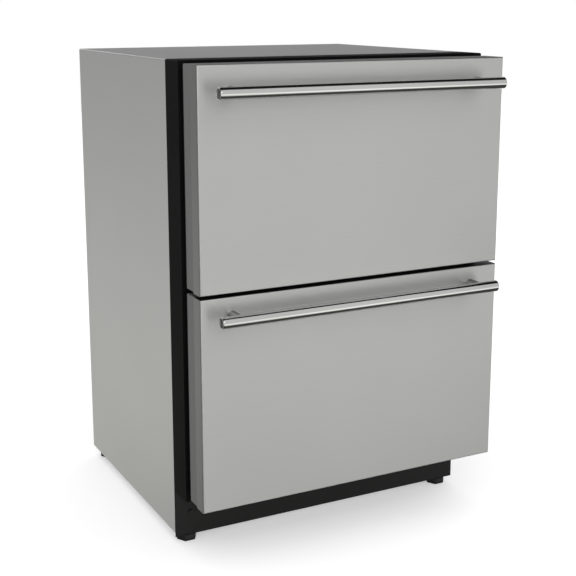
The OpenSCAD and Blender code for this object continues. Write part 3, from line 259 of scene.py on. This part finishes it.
def steel(name, dark, light, stretch, roughness, spread_by, bump, radius=0.0008, painted_edge_highlight=0.0):
    """Brushed metal: grain lines along the axis that stretch leaves small, soft clouds, and
    edges that are rubbed bright. A fold highlight above 0 paints every edge lighter all along
    instead, as a painted highlight."""
    paint, tree, surface, place = blank(name)
    grain = add(tree, "Group", {"Vector": add(tree, "Mapping", {
        "Vector": place, "Scale": stretch}).outputs["Vector"]}, node_tree=brushed_grain)
    cloud = add(tree, "Group", {"Vector": place, "Scale": 2.2}, node_tree=cloudy)
    edges = add(tree, "Group", {"Vector": place, "Radius": radius}, node_tree=worn_edges)
    tone = mixed(tree, spread(tree, grain.outputs["Lines"], 0.35, 0.65), dark, light)
    rubbed = reckon(tree, "MULTIPLY", edges.outputs["Wear"], 0.5)
    # When the fold highlight is asked for, every edge is painted lighter all along: a painted
    # highlight, in place of the rubbed patches.
    if painted_edge_highlight:
        rubbed = reckon(tree, "MULTIPLY", edges.outputs["Edge"], painted_edge_highlight)
    bright = tuple(min(1.0, 1.25 * c) for c in light)
    tree.links.new(mixed(tree, rubbed, tone, bright), surface.inputs["Base Color"])
    lines = spread(tree, grain.outputs["Lines"], 0.3, 0.7, roughness - spread_by,
                   roughness + spread_by)
    clouds = spread(tree, cloud.outputs["Cloud"], 0.0, 1.0, -0.5 * spread_by, 0.5 * spread_by)
    tree.links.new(reckon(tree, "ADD", lines, clouds), surface.inputs["Roughness"])
    surface.inputs["Metallic"].default_value = 1.0
    relief = add(tree, "Bump", {
        "Height": grain.outputs["Height"], "Strength": bump, "Distance": 0.0001})
    if not painted_edge_highlight:
        tree.links.new(edges.outputs["Normal"], relief.inputs["Normal"])
    tree.links.new(relief.outputs["Normal"], surface.inputs["Normal"])
    return paint


def dress(paint, *names):
    """Give a material to CAD nodes that stay as they are."""
    for name in names:
        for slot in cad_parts[name].material_slots:
            slot.material = paint


# Its edges are painted lighter all along: a painted highlight on the folds.
wrapper_steel = steel("wrapper_steel", (0.352, 0.353, 0.351), (0.376, 0.377, 0.375),
                      (900.0, 9.0, 900.0), 0.36, 0.03, 0.12, radius=0.0022, painted_edge_highlight=1.0)
dress(wrapper_steel, "cabinet_wrapper")

# ---- Front frame and the rail between the drawers ----
# A black moulded collar in front of the wrapper that carries the seals, with a hollow rail
# across it. Both are pressed against the foam and held by it.

# The fine pebble that a spark-eroded mould leaves on plastic
pebble, given, result = group(
    "pebble", [("Vector", "Vector"), ("Scale", "Float")], [("Shade", "Float"), ("Height", "Float")])
cells = add(pebble, "TexVoronoi", {
    "Vector": given.outputs["Vector"], "Scale": given.outputs["Scale"], "Randomness": 1.0},
    feature="SMOOTH_F1")
specks = add(pebble, "TexNoise", {
    "Vector": given.outputs["Vector"], "Scale": given.outputs["Scale"], "Detail": 4.0})
pebble.links.new(specks.outputs["Fac"], result.inputs["Shade"])
pebble.links.new(reckon(pebble, "ADD", cells.outputs["Distance"], specks.outputs["Fac"]),
                 result.inputs["Height"])


def moulded(name, dark, light, roughness, scale, bump, radius=0.0008, wear=0.3, shine=0.5):
    """Moulded plastic, rubber or powder coat: a fine pebble, soft clouds in tone and gloss, and
    paler rubbed edges."""
    paint, tree, surface, place = blank(name)
    skin = add(tree, "Group", {"Vector": place, "Scale": scale}, node_tree=pebble)
    cloud = add(tree, "Group", {"Vector": place, "Scale": 5.0}, node_tree=cloudy)
    edges = add(tree, "Group", {"Vector": place, "Radius": radius}, node_tree=worn_edges)
    both = reckon(tree, "MULTIPLY", reckon(
        tree, "ADD", skin.outputs["Shade"], cloud.outputs["Cloud"]), 0.5)
    tone = mixed(tree, both, dark, light)
    rubbed = reckon(tree, "MULTIPLY", edges.outputs["Wear"], wear)
    pale = tuple(min(1.0, 1.6 * c + 0.02) for c in light)
    tree.links.new(mixed(tree, rubbed, tone, pale), surface.inputs["Base Color"])
    tree.links.new(spread(tree, cloud.outputs["Cloud"], 0.0, 1.0, roughness - 0.05,
                          roughness + 0.06), surface.inputs["Roughness"])
    surface.inputs["Specular IOR Level"].default_value = shine
    relief = add(tree, "Bump", {
        "Height": skin.outputs["Height"], "Strength": bump, "Distance": 0.0002,
        "Normal": edges.outputs["Normal"]})
    tree.links.new(relief.outputs["Normal"], surface.inputs["Normal"])
    return paint


frame_black = moulded("frame_black", (0.003, 0.003, 0.003), (0.007, 0.007, 0.007), 0.62, 900.0,
                      0.35, shine=0.03)
dress(frame_black, "front_frame", "mullion_rail")

# ---- Insulation and inner liner ----
# Rigid foam poured between the wrapper and a vacuum-formed white liner, over a steel deck that
# steps up above the machine room.

foam = moulded("foam", (0.62, 0.50, 0.26), (0.78, 0.68, 0.42), 0.8, 260.0, 0.9, wear=0.2)
dress(foam, "foam_insulation")
liner_white = moulded("liner_white", (0.74, 0.75, 0.75), (0.82, 0.83, 0.83), 0.32, 700.0, 0.12,
                      wear=0.1)
dress(liner_white, "inner_liner")

# ---- Base pan, deck, rear panel and grille ----
# Galvanised sheet, cut and folded. The rear panel and the grille over the machine room's
# opening are held by screws that cut their own thread.

# The crystal facets of a zinc coat
spangle, given, result = group(
    "spangle", [("Vector", "Vector"), ("Scale", "Float")], [("Facet", "Float"), ("Line", "Float")])
facets = add(spangle, "TexVoronoi", {
    "Vector": given.outputs["Vector"], "Scale": given.outputs["Scale"], "Detail": 1.0},
    feature="F1")
borders = add(spangle, "TexVoronoi", {
    "Vector": given.outputs["Vector"], "Scale": given.outputs["Scale"]},
    feature="DISTANCE_TO_EDGE")
facet = add(spangle, "SeparateColor", {0: facets.outputs["Color"]})
spangle.links.new(facet.outputs[0], result.inputs["Facet"])
spangle.links.new(spread(spangle, borders.outputs["Distance"], 0.0, 0.12), result.inputs["Line"])

galvanised, tree, surface, place = blank("galvanised")
zinc = add(tree, "Group", {"Vector": place, "Scale": 90.0}, node_tree=spangle)
cloud = add(tree, "Group", {"Vector": place, "Scale": 4.0}, node_tree=cloudy)
edges = add(tree, "Group", {"Vector": place, "Radius": 0.0006}, node_tree=worn_edges)
tone = mixed(tree, zinc.outputs["Facet"], (0.42, 0.44, 0.46), (0.58, 0.60, 0.62))
tone = mixed(tree, reckon(tree, "MULTIPLY", edges.outputs["Wear"], 0.4), tone,
             (0.75, 0.77, 0.78))
tree.links.new(tone, surface.inputs["Base Color"])
gloss = spread(tree, zinc.outputs["Facet"], 0.0, 1.0, 0.34, 0.48)
tree.links.new(reckon(tree, "ADD", gloss, reckon(
    tree, "MULTIPLY", cloud.outputs["Cloud"], 0.06)), surface.inputs["Roughness"])
surface.inputs["Metallic"].default_value = 1.0
relief = add(tree, "Bump", {"Height": zinc.outputs["Line"], "Strength": 0.15,
                            "Distance": 0.0001, "Normal": edges.outputs["Normal"]})
tree.links.new(relief.outputs["Normal"], surface.inputs["Normal"])
dress(galvanised, "rear_panel", "rear_grille", "bottom_deck", "base_pan")


def select(piece, kind, test):
    """Enter edit mode with only the faces, edges or points selected that pass the test."""
    bpy.ops.object.mode_set(mode="EDIT")
    bpy.ops.mesh.select_mode(type=kind)
    bpy.ops.mesh.select_all(action="DESELECT")
    mesh = bmesh.from_edit_mesh(piece.data)
    mesh.normal_update()
    for part in {"VERT": mesh.verts, "EDGE": mesh.edges, "FACE": mesh.faces}[kind]:
        part.select_set(test(part))
    bmesh.update_edit_mesh(piece.data)


def leave():
    """Back to object mode."""
    bpy.ops.object.mode_set(mode="OBJECT")


def start(kind, name, **shape):
    """A new primitive on its own, with its place and turn already in its mesh."""
    bpy.ops.object.select_all(action="DESELECT")
    getattr(bpy.ops.mesh, "primitive_" + kind + "_add")(**shape)
    piece = bpy.context.object
    piece.name = piece.data.name = name
    bpy.ops.object.transform_apply(location=True, rotation=True, scale=True)
    return piece


def block(name, low, high):
    """A box between its lowest and highest corners."""
    low, high = Vector(low), Vector(high)
    return start("cube", name, size=1.0, location=(low + high) / 2, scale=high - low)


def copies(piece, places):
    """Join a piece with copies of itself at each further place, each with its own mesh."""
    made = [piece]
    for place in places:
        twin = piece.copy()
        twin.data = piece.data.copy()
        scene.collection.objects.link(twin)
        twin.location = place
        made.append(twin)
    bpy.ops.object.select_all(action="DESELECT")
    for twin in made:
        twin.select_set(True)
    bpy.context.view_layer.objects.active = piece
    bpy.ops.object.transform_apply(location=True, rotation=True, scale=True)
    bpy.ops.object.join()
    return bpy.context.object


def soften(piece, width, segments=3, angle=35.0):
    """Round the piece's sharp edges and shade it smooth between them."""
    bpy.ops.object.select_all(action="DESELECT")
    piece.select_set(True)
    bpy.context.view_layer.objects.active = piece
    if width:
        bevel = piece.modifiers.new("edges", "BEVEL")
        bevel.width = width
        bevel.segments = segments
        bevel.limit_method = "ANGLE"
        bevel.angle_limit = math.radians(angle)
        bpy.ops.object.modifier_apply(modifier="edges")
    bpy.ops.object.shade_smooth_by_angle(angle=math.radians(angle))


def sheet_screw(name, washer_r, hexagon_r, place):
    """A hexagon-washer-head screw whose head faces the back: only its head is seen."""
    washer_t, head_t = 0.0007, 0.0020
    to_back = (math.radians(90.0), 0.0, 0.0)
    washer = start("cylinder", name, vertices=20, radius=washer_r, depth=washer_t,
                   location=(place[0], place[1] + washer_t / 2, place[2]), rotation=to_back)
    head = start("cylinder", name + "_hexagon", vertices=6, radius=hexagon_r, depth=head_t,
                 location=(place[0], place[1] + 0.0002 + head_t / 2, place[2]),
                 rotation=to_back)
    select(head, "FACE", lambda f: f.normal.y > 0.9)
    bpy.ops.mesh.inset(thickness=0.0005, depth=0.0003)
    bpy.ops.mesh.inset(thickness=0.0007, depth=-0.0004)
    leave()
    washer.select_set(True)
    bpy.context.view_layer.objects.active = washer
    bpy.ops.object.join()
    return bpy.context.object


screw_zinc = steel("screw_zinc", (0.46, 0.47, 0.48), (0.58, 0.59, 0.60), (600.0, 600.0, 600.0),
                   0.3, 0.06, 0.2)
low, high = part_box("rear_panel")
side_inset, end_inset, top_inset = 0.012, 0.025, 0.013
panel_screws = sheet_screw("rear_panel_screws", 0.0046, 0.0036,
                           (low.x + side_inset, high.y, high.z - end_inset))
reach = high.x - low.x - 2 * side_inset
drop = high.z - low.z - 2 * end_inset
spots = []
for step in range(7):
    for side in (0.0, reach):
        if step or side:
            spots.append((side, 0.0, -step * drop / 6))
for step in range(1, 5):
    spots.append((step * reach / 5, 0.0, end_inset - top_inset))
panel_screws = copies(panel_screws, spots)
soften(panel_screws, 0.0)
panel_screws.data.materials.append(screw_zinc)
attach(panel_screws, "cabinet")

low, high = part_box("rear_grille")
rim = 0.006
grille_screws = sheet_screw("rear_grille_screws", 0.0042, 0.0033,
                            (low.x + rim, high.y, high.z - rim))
reach = high.x - low.x - 2 * rim
drop = high.z - low.z - 2 * rim
spots = []
for step in range(5):
    for down in (0.0, drop):
        if step or down:
            spots.append((step * reach / 4, 0.0, -down))
for side in (0.0, reach):
    spots.append((side, 0.0, -drop / 2))
grille_screws = copies(grille_screws, spots)
soften(grille_screws, 0.0)
grille_screws.data.materials.append(screw_zinc)
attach(grille_screws, "cabinet")

# ---- Compressor and its rubber feet ----
# A pump sealed in a welded steel shell, painted black. It stands on four rubber grommets, which
# keep its hum off the pan.

pump_black = moulded("pump_black", (0.008, 0.008, 0.009), (0.016, 0.016, 0.017), 0.3, 500.0,
                     0.25, wear=0.5)
dress(pump_black, "compressor")
grommet_rubber = moulded("grommet_rubber", (0.010, 0.010, 0.010), (0.018, 0.018, 0.018), 0.7,
                         700.0, 0.4)
dress(grommet_rubber, "compressor_grommets")

# ---- Condenser, fan, duct and filter drier ----
# A tube folded through aluminium fins. The fan turns on its motor's shaft in the duct's collar
# and draws air through them. The drier is a spun copper can in the liquid line.

coil_aluminium = steel("coil_aluminium", (0.55, 0.56, 0.57), (0.68, 0.69, 0.70),
                       (40.0, 700.0, 700.0), 0.34, 0.06, 0.3)
dress(coil_aluminium, "condenser", "evaporator")
fan_plastic = moulded("fan_plastic", (0.012, 0.012, 0.013), (0.024, 0.024, 0.025), 0.42, 800.0,
                      0.3)
dress(fan_plastic, "fan_shroud", "condenser_fan", "evaporator_fan")
motor_steel = steel("motor_steel", (0.16, 0.16, 0.17), (0.24, 0.24, 0.25), (500.0, 500.0, 60.0),
                    0.38, 0.06, 0.25)
dress(motor_steel, "condenser_fan_motor", "evaporator_fan_motor")
tube_copper = steel("tube_copper", (0.62, 0.28, 0.16), (0.80, 0.42, 0.27), (90.0, 90.0, 90.0),
                    0.3, 0.08, 0.3)
dress(tube_copper, "filter_drier", "discharge_tube", "liquid_tube", "suction_tube")

# ---- Drain pan, power box and gland ----
# The pan lies on the compressor's warm top. The box holds the relay and terminals, and the
# gland leads the supply through the rear panel.

box_plastic = moulded("box_plastic", (0.030, 0.031, 0.033), (0.048, 0.049, 0.052), 0.45, 700.0,
                      0.35)
dress(box_plastic, "drain_pan", "power_box")
gland_rubber = moulded("gland_rubber", (0.009, 0.009, 0.009), (0.016, 0.016, 0.016), 0.6,
                       900.0, 0.4)
dress(gland_rubber, "cord_gland")

# ---- Evaporator cover and drain trough ----
# White moulded covers in front of and under the cold coil, clipped to the liner. The cover has
# a ring guard for its fan, and the trough leads the melt water to the drain.

cover_white = moulded("cover_white", (0.72, 0.73, 0.73), (0.80, 0.81, 0.81), 0.38, 800.0, 0.2,
                      wear=0.1)
dress(cover_white, "evaporator_cover", "drain_trough")

# ---- Touch control and light ----
# A black glossy touch strip under the ceiling of the cavity, and a milky light strip behind it,
# both moulded and snapped into the liner.

control_gloss = moulded("control_gloss", (0.006, 0.006, 0.007), (0.009, 0.009, 0.010), 0.1,
                        300.0, 0.04, wear=0.15)
dress(control_gloss, "control_panel")
light_diffuser = moulded("light_diffuser", (0.78, 0.79, 0.78), (0.88, 0.89, 0.88), 0.3, 500.0,
                         0.15, wear=0.05)
dress(light_diffuser, "light_strip")

# ---- Slides ----
# Telescopic slides of roll-formed, zinc-plated steel in three members. The outer ones are
# screwed to the liner, and the inner ones carry the drawers' brackets.

slide_steel = steel("slide_steel", (0.50, 0.51, 0.52), (0.62, 0.63, 0.64), (700.0, 8.0, 700.0),
                    0.28, 0.06, 0.3)
dress(slide_steel, "upper_cabinet_slides", "upper_middle_slides", "upper_drawer_slides",
      "lower_cabinet_slides", "lower_middle_slides", "lower_drawer_slides")

# ---- Kick plate and its screws ----
# Black powder-coated steel sheet with its edges hemmed to the back. Two pan-head screws with
# cross recesses hold it under the front frame.

plinth_black = moulded("plinth_black", (0.010, 0.010, 0.010), (0.016, 0.016, 0.016), 0.5,
                       1100.0, 0.45, radius=0.0015, wear=0.35, shine=0.22)
low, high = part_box("kick_plate")
hem, hem_t, fold_r = 0.012, 0.0015, 0.0014
plinth = block("plinth_plate", low, high)
select(plinth, "FACE", lambda f: f.normal.y > 0.9)
bpy.ops.mesh.inset(thickness=hem)
bpy.ops.mesh.extrude_region_move(TRANSFORM_OT_translate={"value": (0.0, -hem_t, 0.0)})
select(plinth, "EDGE", lambda e: all(
    min(v.co.x - low.x, high.x - v.co.x, v.co.z - low.z, high.z - v.co.z) < 0.0001
    for v in e.verts) and abs(e.verts[0].co.y - e.verts[1].co.y) < 0.0001)
bpy.ops.mesh.bevel(offset=fold_r, segments=4)
leave()
soften(plinth, 0.0)
plinth.data.materials.append(plinth_black)
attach(plinth, "cabinet")
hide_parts("kick_plate")

# Each head is black; its flat crown takes a lighter, glossier copy of that black: a painted
# highlight.
screw_black = moulded("screw_black", (0.0005, 0.0005, 0.0005), (0.002, 0.002, 0.002), 0.5, 900.0,
                      0.2, radius=0.0003, wear=0.05, shine=0.03)
painted_highlight_crown = moulded("painted_highlight_crown", (0.012, 0.012, 0.012), (0.02, 0.02, 0.02), 0.4, 900.0,
                      0.2, radius=0.0003, wear=0.3, shine=0.3)
head_r, head_t, head_round = 0.0045, 0.0022, 0.0012
recess_reach, recess_depth, recess_w = 0.0048, 0.0028, 0.0010
low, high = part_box("kick_plate_screws")
place = Vector((low.x + head_r, low.y, (low.z + high.z) / 2))
pan_screws = start("cylinder", "plinth_screws", vertices=40, radius=head_r, depth=head_t,
                   location=place + Vector((0.0, head_t / 2, 0.0)),
                   rotation=(math.radians(90.0), 0.0, 0.0))
select(pan_screws, "FACE", lambda f: f.normal.y < -0.9)
bpy.ops.mesh.bevel(offset=head_round, segments=5)
leave()
for turn in (45.0, 135.0):
    blade = start("cube", "driver_blade", size=1.0, location=place,
                  rotation=(0.0, math.radians(turn), 0.0),
                  scale=(recess_reach, recess_depth, recess_w))
    select(blade, "FACE", lambda f: f.normal.y > 0.9)
    bpy.ops.transform.resize(value=(0.45, 1.0, 0.45))
    leave()
    cut = pan_screws.modifiers.new("recess", "BOOLEAN")
    cut.object = blade
    cut.operation = "DIFFERENCE"
    bpy.context.view_layer.objects.active = pan_screws
    bpy.ops.object.modifier_apply(modifier="recess")
    bpy.data.objects.remove(blade)
pan_screws = copies(pan_screws, [(-2.0 * place.x, 0.0, 0.0)])
soften(pan_screws, 0.0)
pan_screws.data.materials.append(screw_black)
pan_screws.data.materials.append(painted_highlight_crown)
# The crown's flat faces get the lighter copy, a painted highlight.
crown = min(v.co.y for v in pan_screws.data.vertices)
select(pan_screws, "FACE", lambda f: f.normal.y < -0.9 and min(
    v.co.y for v in f.verts) < crown + 0.0001)
pan_screws.active_material_index = 1
bpy.ops.object.material_slot_assign()
leave()
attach(pan_screws, "cabinet")
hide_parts("kick_plate_screws")

# ---- Legs ----
# Black moulded hexagons, chamfered below, on zinc-plated threaded studs. They screw into the
# base pan and level the cabinet.

leg_black = moulded("leg_black", (0.006, 0.006, 0.006), (0.012, 0.012, 0.012), 0.45, 900.0, 0.4,
                    wear=0.3, shine=0.3)
stud_zinc = steel("stud_zinc", (0.40, 0.41, 0.42), (0.52, 0.53, 0.54), (300.0, 300.0, 900.0),
                  0.32, 0.06, 0.3)
low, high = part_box("leg_front_left")
corner_r = (high.x - low.x) / 2
foot_h, foot_chamfer = 0.0126, 0.0018
stud_r, pitch, ridge_r = 0.0043, 0.0015, 0.0008
foot = start("cylinder", "levelling_leg", vertices=6, radius=corner_r, depth=foot_h,
             location=(0.0, 0.0, foot_h / 2), rotation=(0.0, 0.0, math.radians(90.0)))
select(foot, "EDGE", lambda e: all(v.co.z < 0.001 for v in e.verts))
bpy.ops.mesh.bevel(offset=foot_chamfer, segments=1)
select(foot, "FACE", lambda f: f.normal.z > 0.9)
bpy.ops.mesh.inset(thickness=0.009)
bpy.ops.mesh.inset(thickness=0.001, depth=-0.0008)
leave()
soften(foot, 0.0005, 2)
foot.data.materials.append(leg_black)
stud_h = high.z - foot_h + 0.002
stud = start("cylinder", "stud", vertices=32, radius=stud_r, depth=stud_h,
             location=(0.0, 0.0, high.z - stud_h / 2))
select(stud, "FACE", lambda f: f.normal.z > 0.9)
bpy.ops.mesh.bevel(offset=0.0008, segments=2)
leave()
soften(stud, 0.0)
stud.data.materials.append(stud_zinc)
ridge = start("circle", "thread", vertices=3, radius=ridge_r,
              rotation=(math.radians(90.0), 0.0, 0.0))
select(ridge, "VERT", lambda v: True)
bpy.ops.transform.rotate(value=math.radians(90.0), orient_axis="Y",
                         center_override=(0.0, 0.0, 0.0))
bpy.ops.transform.translate(value=(stud_r - 0.0001, 0.0, foot_h + 0.001))
leave()
helix = ridge.modifiers.new("turns", "SCREW")
helix.axis = "Z"
helix.screw_offset = pitch
helix.iterations = int((stud_h - 0.006) / pitch)
helix.steps = helix.render_steps = 18
bpy.ops.object.modifier_apply(modifier="turns")
select(ridge, "VERT", lambda v: True)
bpy.ops.mesh.fill_holes(sides=3)
bpy.ops.mesh.select_all(action="SELECT")
bpy.ops.mesh.normals_make_consistent(inside=False)
leave()
ridge.data.materials.append(stud_zinc)
for piece in (foot, stud, ridge):
    piece.select_set(True)
bpy.context.view_layer.objects.active = foot
bpy.ops.object.join()
for corner in ("front_left", "front_right", "rear_left", "rear_right"):
    low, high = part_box("leg_" + corner)
    leg = foot.copy()
    leg.data = foot.data.copy()
    leg.name = leg.data.name = corner + "_leveller"
    scene.collection.objects.link(leg)
    leg.data.transform(Matrix.Translation(((low.x + high.x) / 2, (low.y + high.y) / 2, low.z)))
    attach(leg, "leg_" + corner)
    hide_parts("leg_" + corner)
bpy.data.objects.remove(foot)

# ---- Drawer fronts ----
# Stainless skins brushed across and folded back at all four sides, over a grey inner tray that
# is foamed to them and carries a magnetic seal.

front_steel = steel("front_steel", (0.69, 0.692, 0.685), (0.725, 0.727, 0.719),
                    (9.0, 900.0, 900.0), 0.42, 0.03, 0.12)
surface = front_steel.node_tree.nodes["Principled BSDF"]
surface.inputs["Anisotropic"].default_value = 0.9
surface.inputs["Anisotropic Rotation"].default_value = 0.25
# The sides and top of each skin get a far darker copy of the front's steel: painted shade.
painted_shade_returns = steel("painted_shade_returns", (0.125, 0.125, 0.125), (0.145, 0.145, 0.145),
                     (60.0, 900.0, 60.0), 0.4, 0.04, 0.15)
edge_r, sheet_t = 0.0025, 0.0012
for level in ("upper", "lower"):
    low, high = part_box(level + "_front_panel")
    skin = block(level + "_skin", low, high)
    select(skin, "EDGE", lambda e: all(v.co.y < low.y + 0.001 for v in e.verts))
    bpy.ops.mesh.bevel(offset=edge_r, segments=5)
    select(skin, "FACE", lambda f: f.normal.y > 0.9)
    bpy.ops.mesh.delete(type="FACE")
    # The sides and top take the darker copy, as painted shade.
    select(skin, "FACE", lambda f: f.normal.y > -0.6)
    skin.data.materials.append(front_steel)
    skin.data.materials.append(painted_shade_returns)
    skin.active_material_index = 1
    bpy.ops.object.material_slot_assign()
    leave()
    wall = skin.modifiers.new("sheet", "SOLIDIFY")
    wall.thickness = sheet_t
    wall.offset = -1.0
    bpy.ops.object.modifier_apply(modifier="sheet")
    soften(skin, 0.0)
    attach(skin, level + "_drawer")
    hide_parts(level + "_front_panel")
tray_grey = moulded("tray_grey", (0.095, 0.095, 0.095), (0.125, 0.125, 0.124), 0.5, 800.0, 0.3,
                    shine=0.25)
dress(tray_grey, "upper_front_liner", "lower_front_liner")
dress(foam, "upper_front_core", "lower_front_core")
seal_rubber = moulded("seal_rubber", (0.007, 0.007, 0.007), (0.013, 0.013, 0.013), 0.55, 900.0,
                      0.3)
dress(seal_rubber, "upper_gasket", "lower_gasket")

# ---- Handles ----
# A round bar of polished stainless steel on two turned posts, each held by a screw from behind
# the skin. The bar's ends are chamfered, and closed by darker pressed caps.

handle_steel = steel("handle_steel", (0.69, 0.69, 0.682), (0.75, 0.75, 0.742),
                     (6.0, 900.0, 900.0), 0.1, 0.02, 0.1)
cap_steel = steel("cap_steel", (0.055, 0.055, 0.055), (0.075, 0.075, 0.075),
                  (60.0, 900.0, 900.0), 0.22, 0.05, 0.2)
end_chamfer, cap_r = 0.001, 0.0090
for level in ("upper", "lower"):
    low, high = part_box(level + "_handle_bar")
    radius = (high.z - low.z) / 2
    middle = (low + high) / 2
    bar = start("cylinder", level + "_bar", vertices=96, radius=radius,
                depth=high.x - low.x - 2 * end_chamfer, location=middle,
                rotation=(0.0, math.radians(90.0), 0.0))
    for side in (-1.0, 1.0):
        select(bar, "FACE", lambda f: f.normal.x * side > 0.9)
        bpy.ops.mesh.inset(thickness=end_chamfer, depth=end_chamfer)
        bpy.ops.mesh.inset(thickness=0.0006, depth=0.0)
        bpy.ops.mesh.inset(thickness=0.0001, depth=-0.0005)
        bpy.ops.mesh.inset(thickness=0.0004, depth=0.0)
        bpy.ops.mesh.inset(thickness=0.0001, depth=0.0005)
        leave()
    soften(bar, 0.0003, 2, 25.0)
    bar.data.materials.append(handle_steel)
    bar.data.materials.append(cap_steel)
    select(bar, "FACE", lambda f: abs(f.normal.x) > 0.9 and math.hypot(
        f.calc_center_median().y - middle.y, f.calc_center_median().z - middle.z) < cap_r)
    bar.active_material_index = 1
    bpy.ops.object.material_slot_assign()
    leave()
    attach(bar, level + "_drawer")
    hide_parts(level + "_handle_bar")
# The posts take a much darker copy of the handle's steel: painted shade between the bar and the
# skin.
painted_shade_posts = steel("painted_shade_posts", (0.17, 0.17, 0.17), (0.22, 0.22, 0.22), (900.0, 30.0, 900.0),
                   0.2, 0.04, 0.15)
dress(painted_shade_posts, "upper_handle_posts", "lower_handle_posts")
dress(screw_zinc, "upper_handle_screws", "lower_handle_screws")

# ---- Bins and their brackets ----
# Moulded bins that hang by their rims on zinc-plated sheet brackets, which are fixed to the
# inner slide members and to the drawer fronts.

dress(galvanised, "upper_side_brackets", "lower_side_brackets")
bin_plastic = moulded("bin_plastic", (0.70, 0.71, 0.71), (0.78, 0.79, 0.79), 0.35, 700.0, 0.25,
                      wear=0.1)
dress(bin_plastic, "upper_bin", "lower_bin")
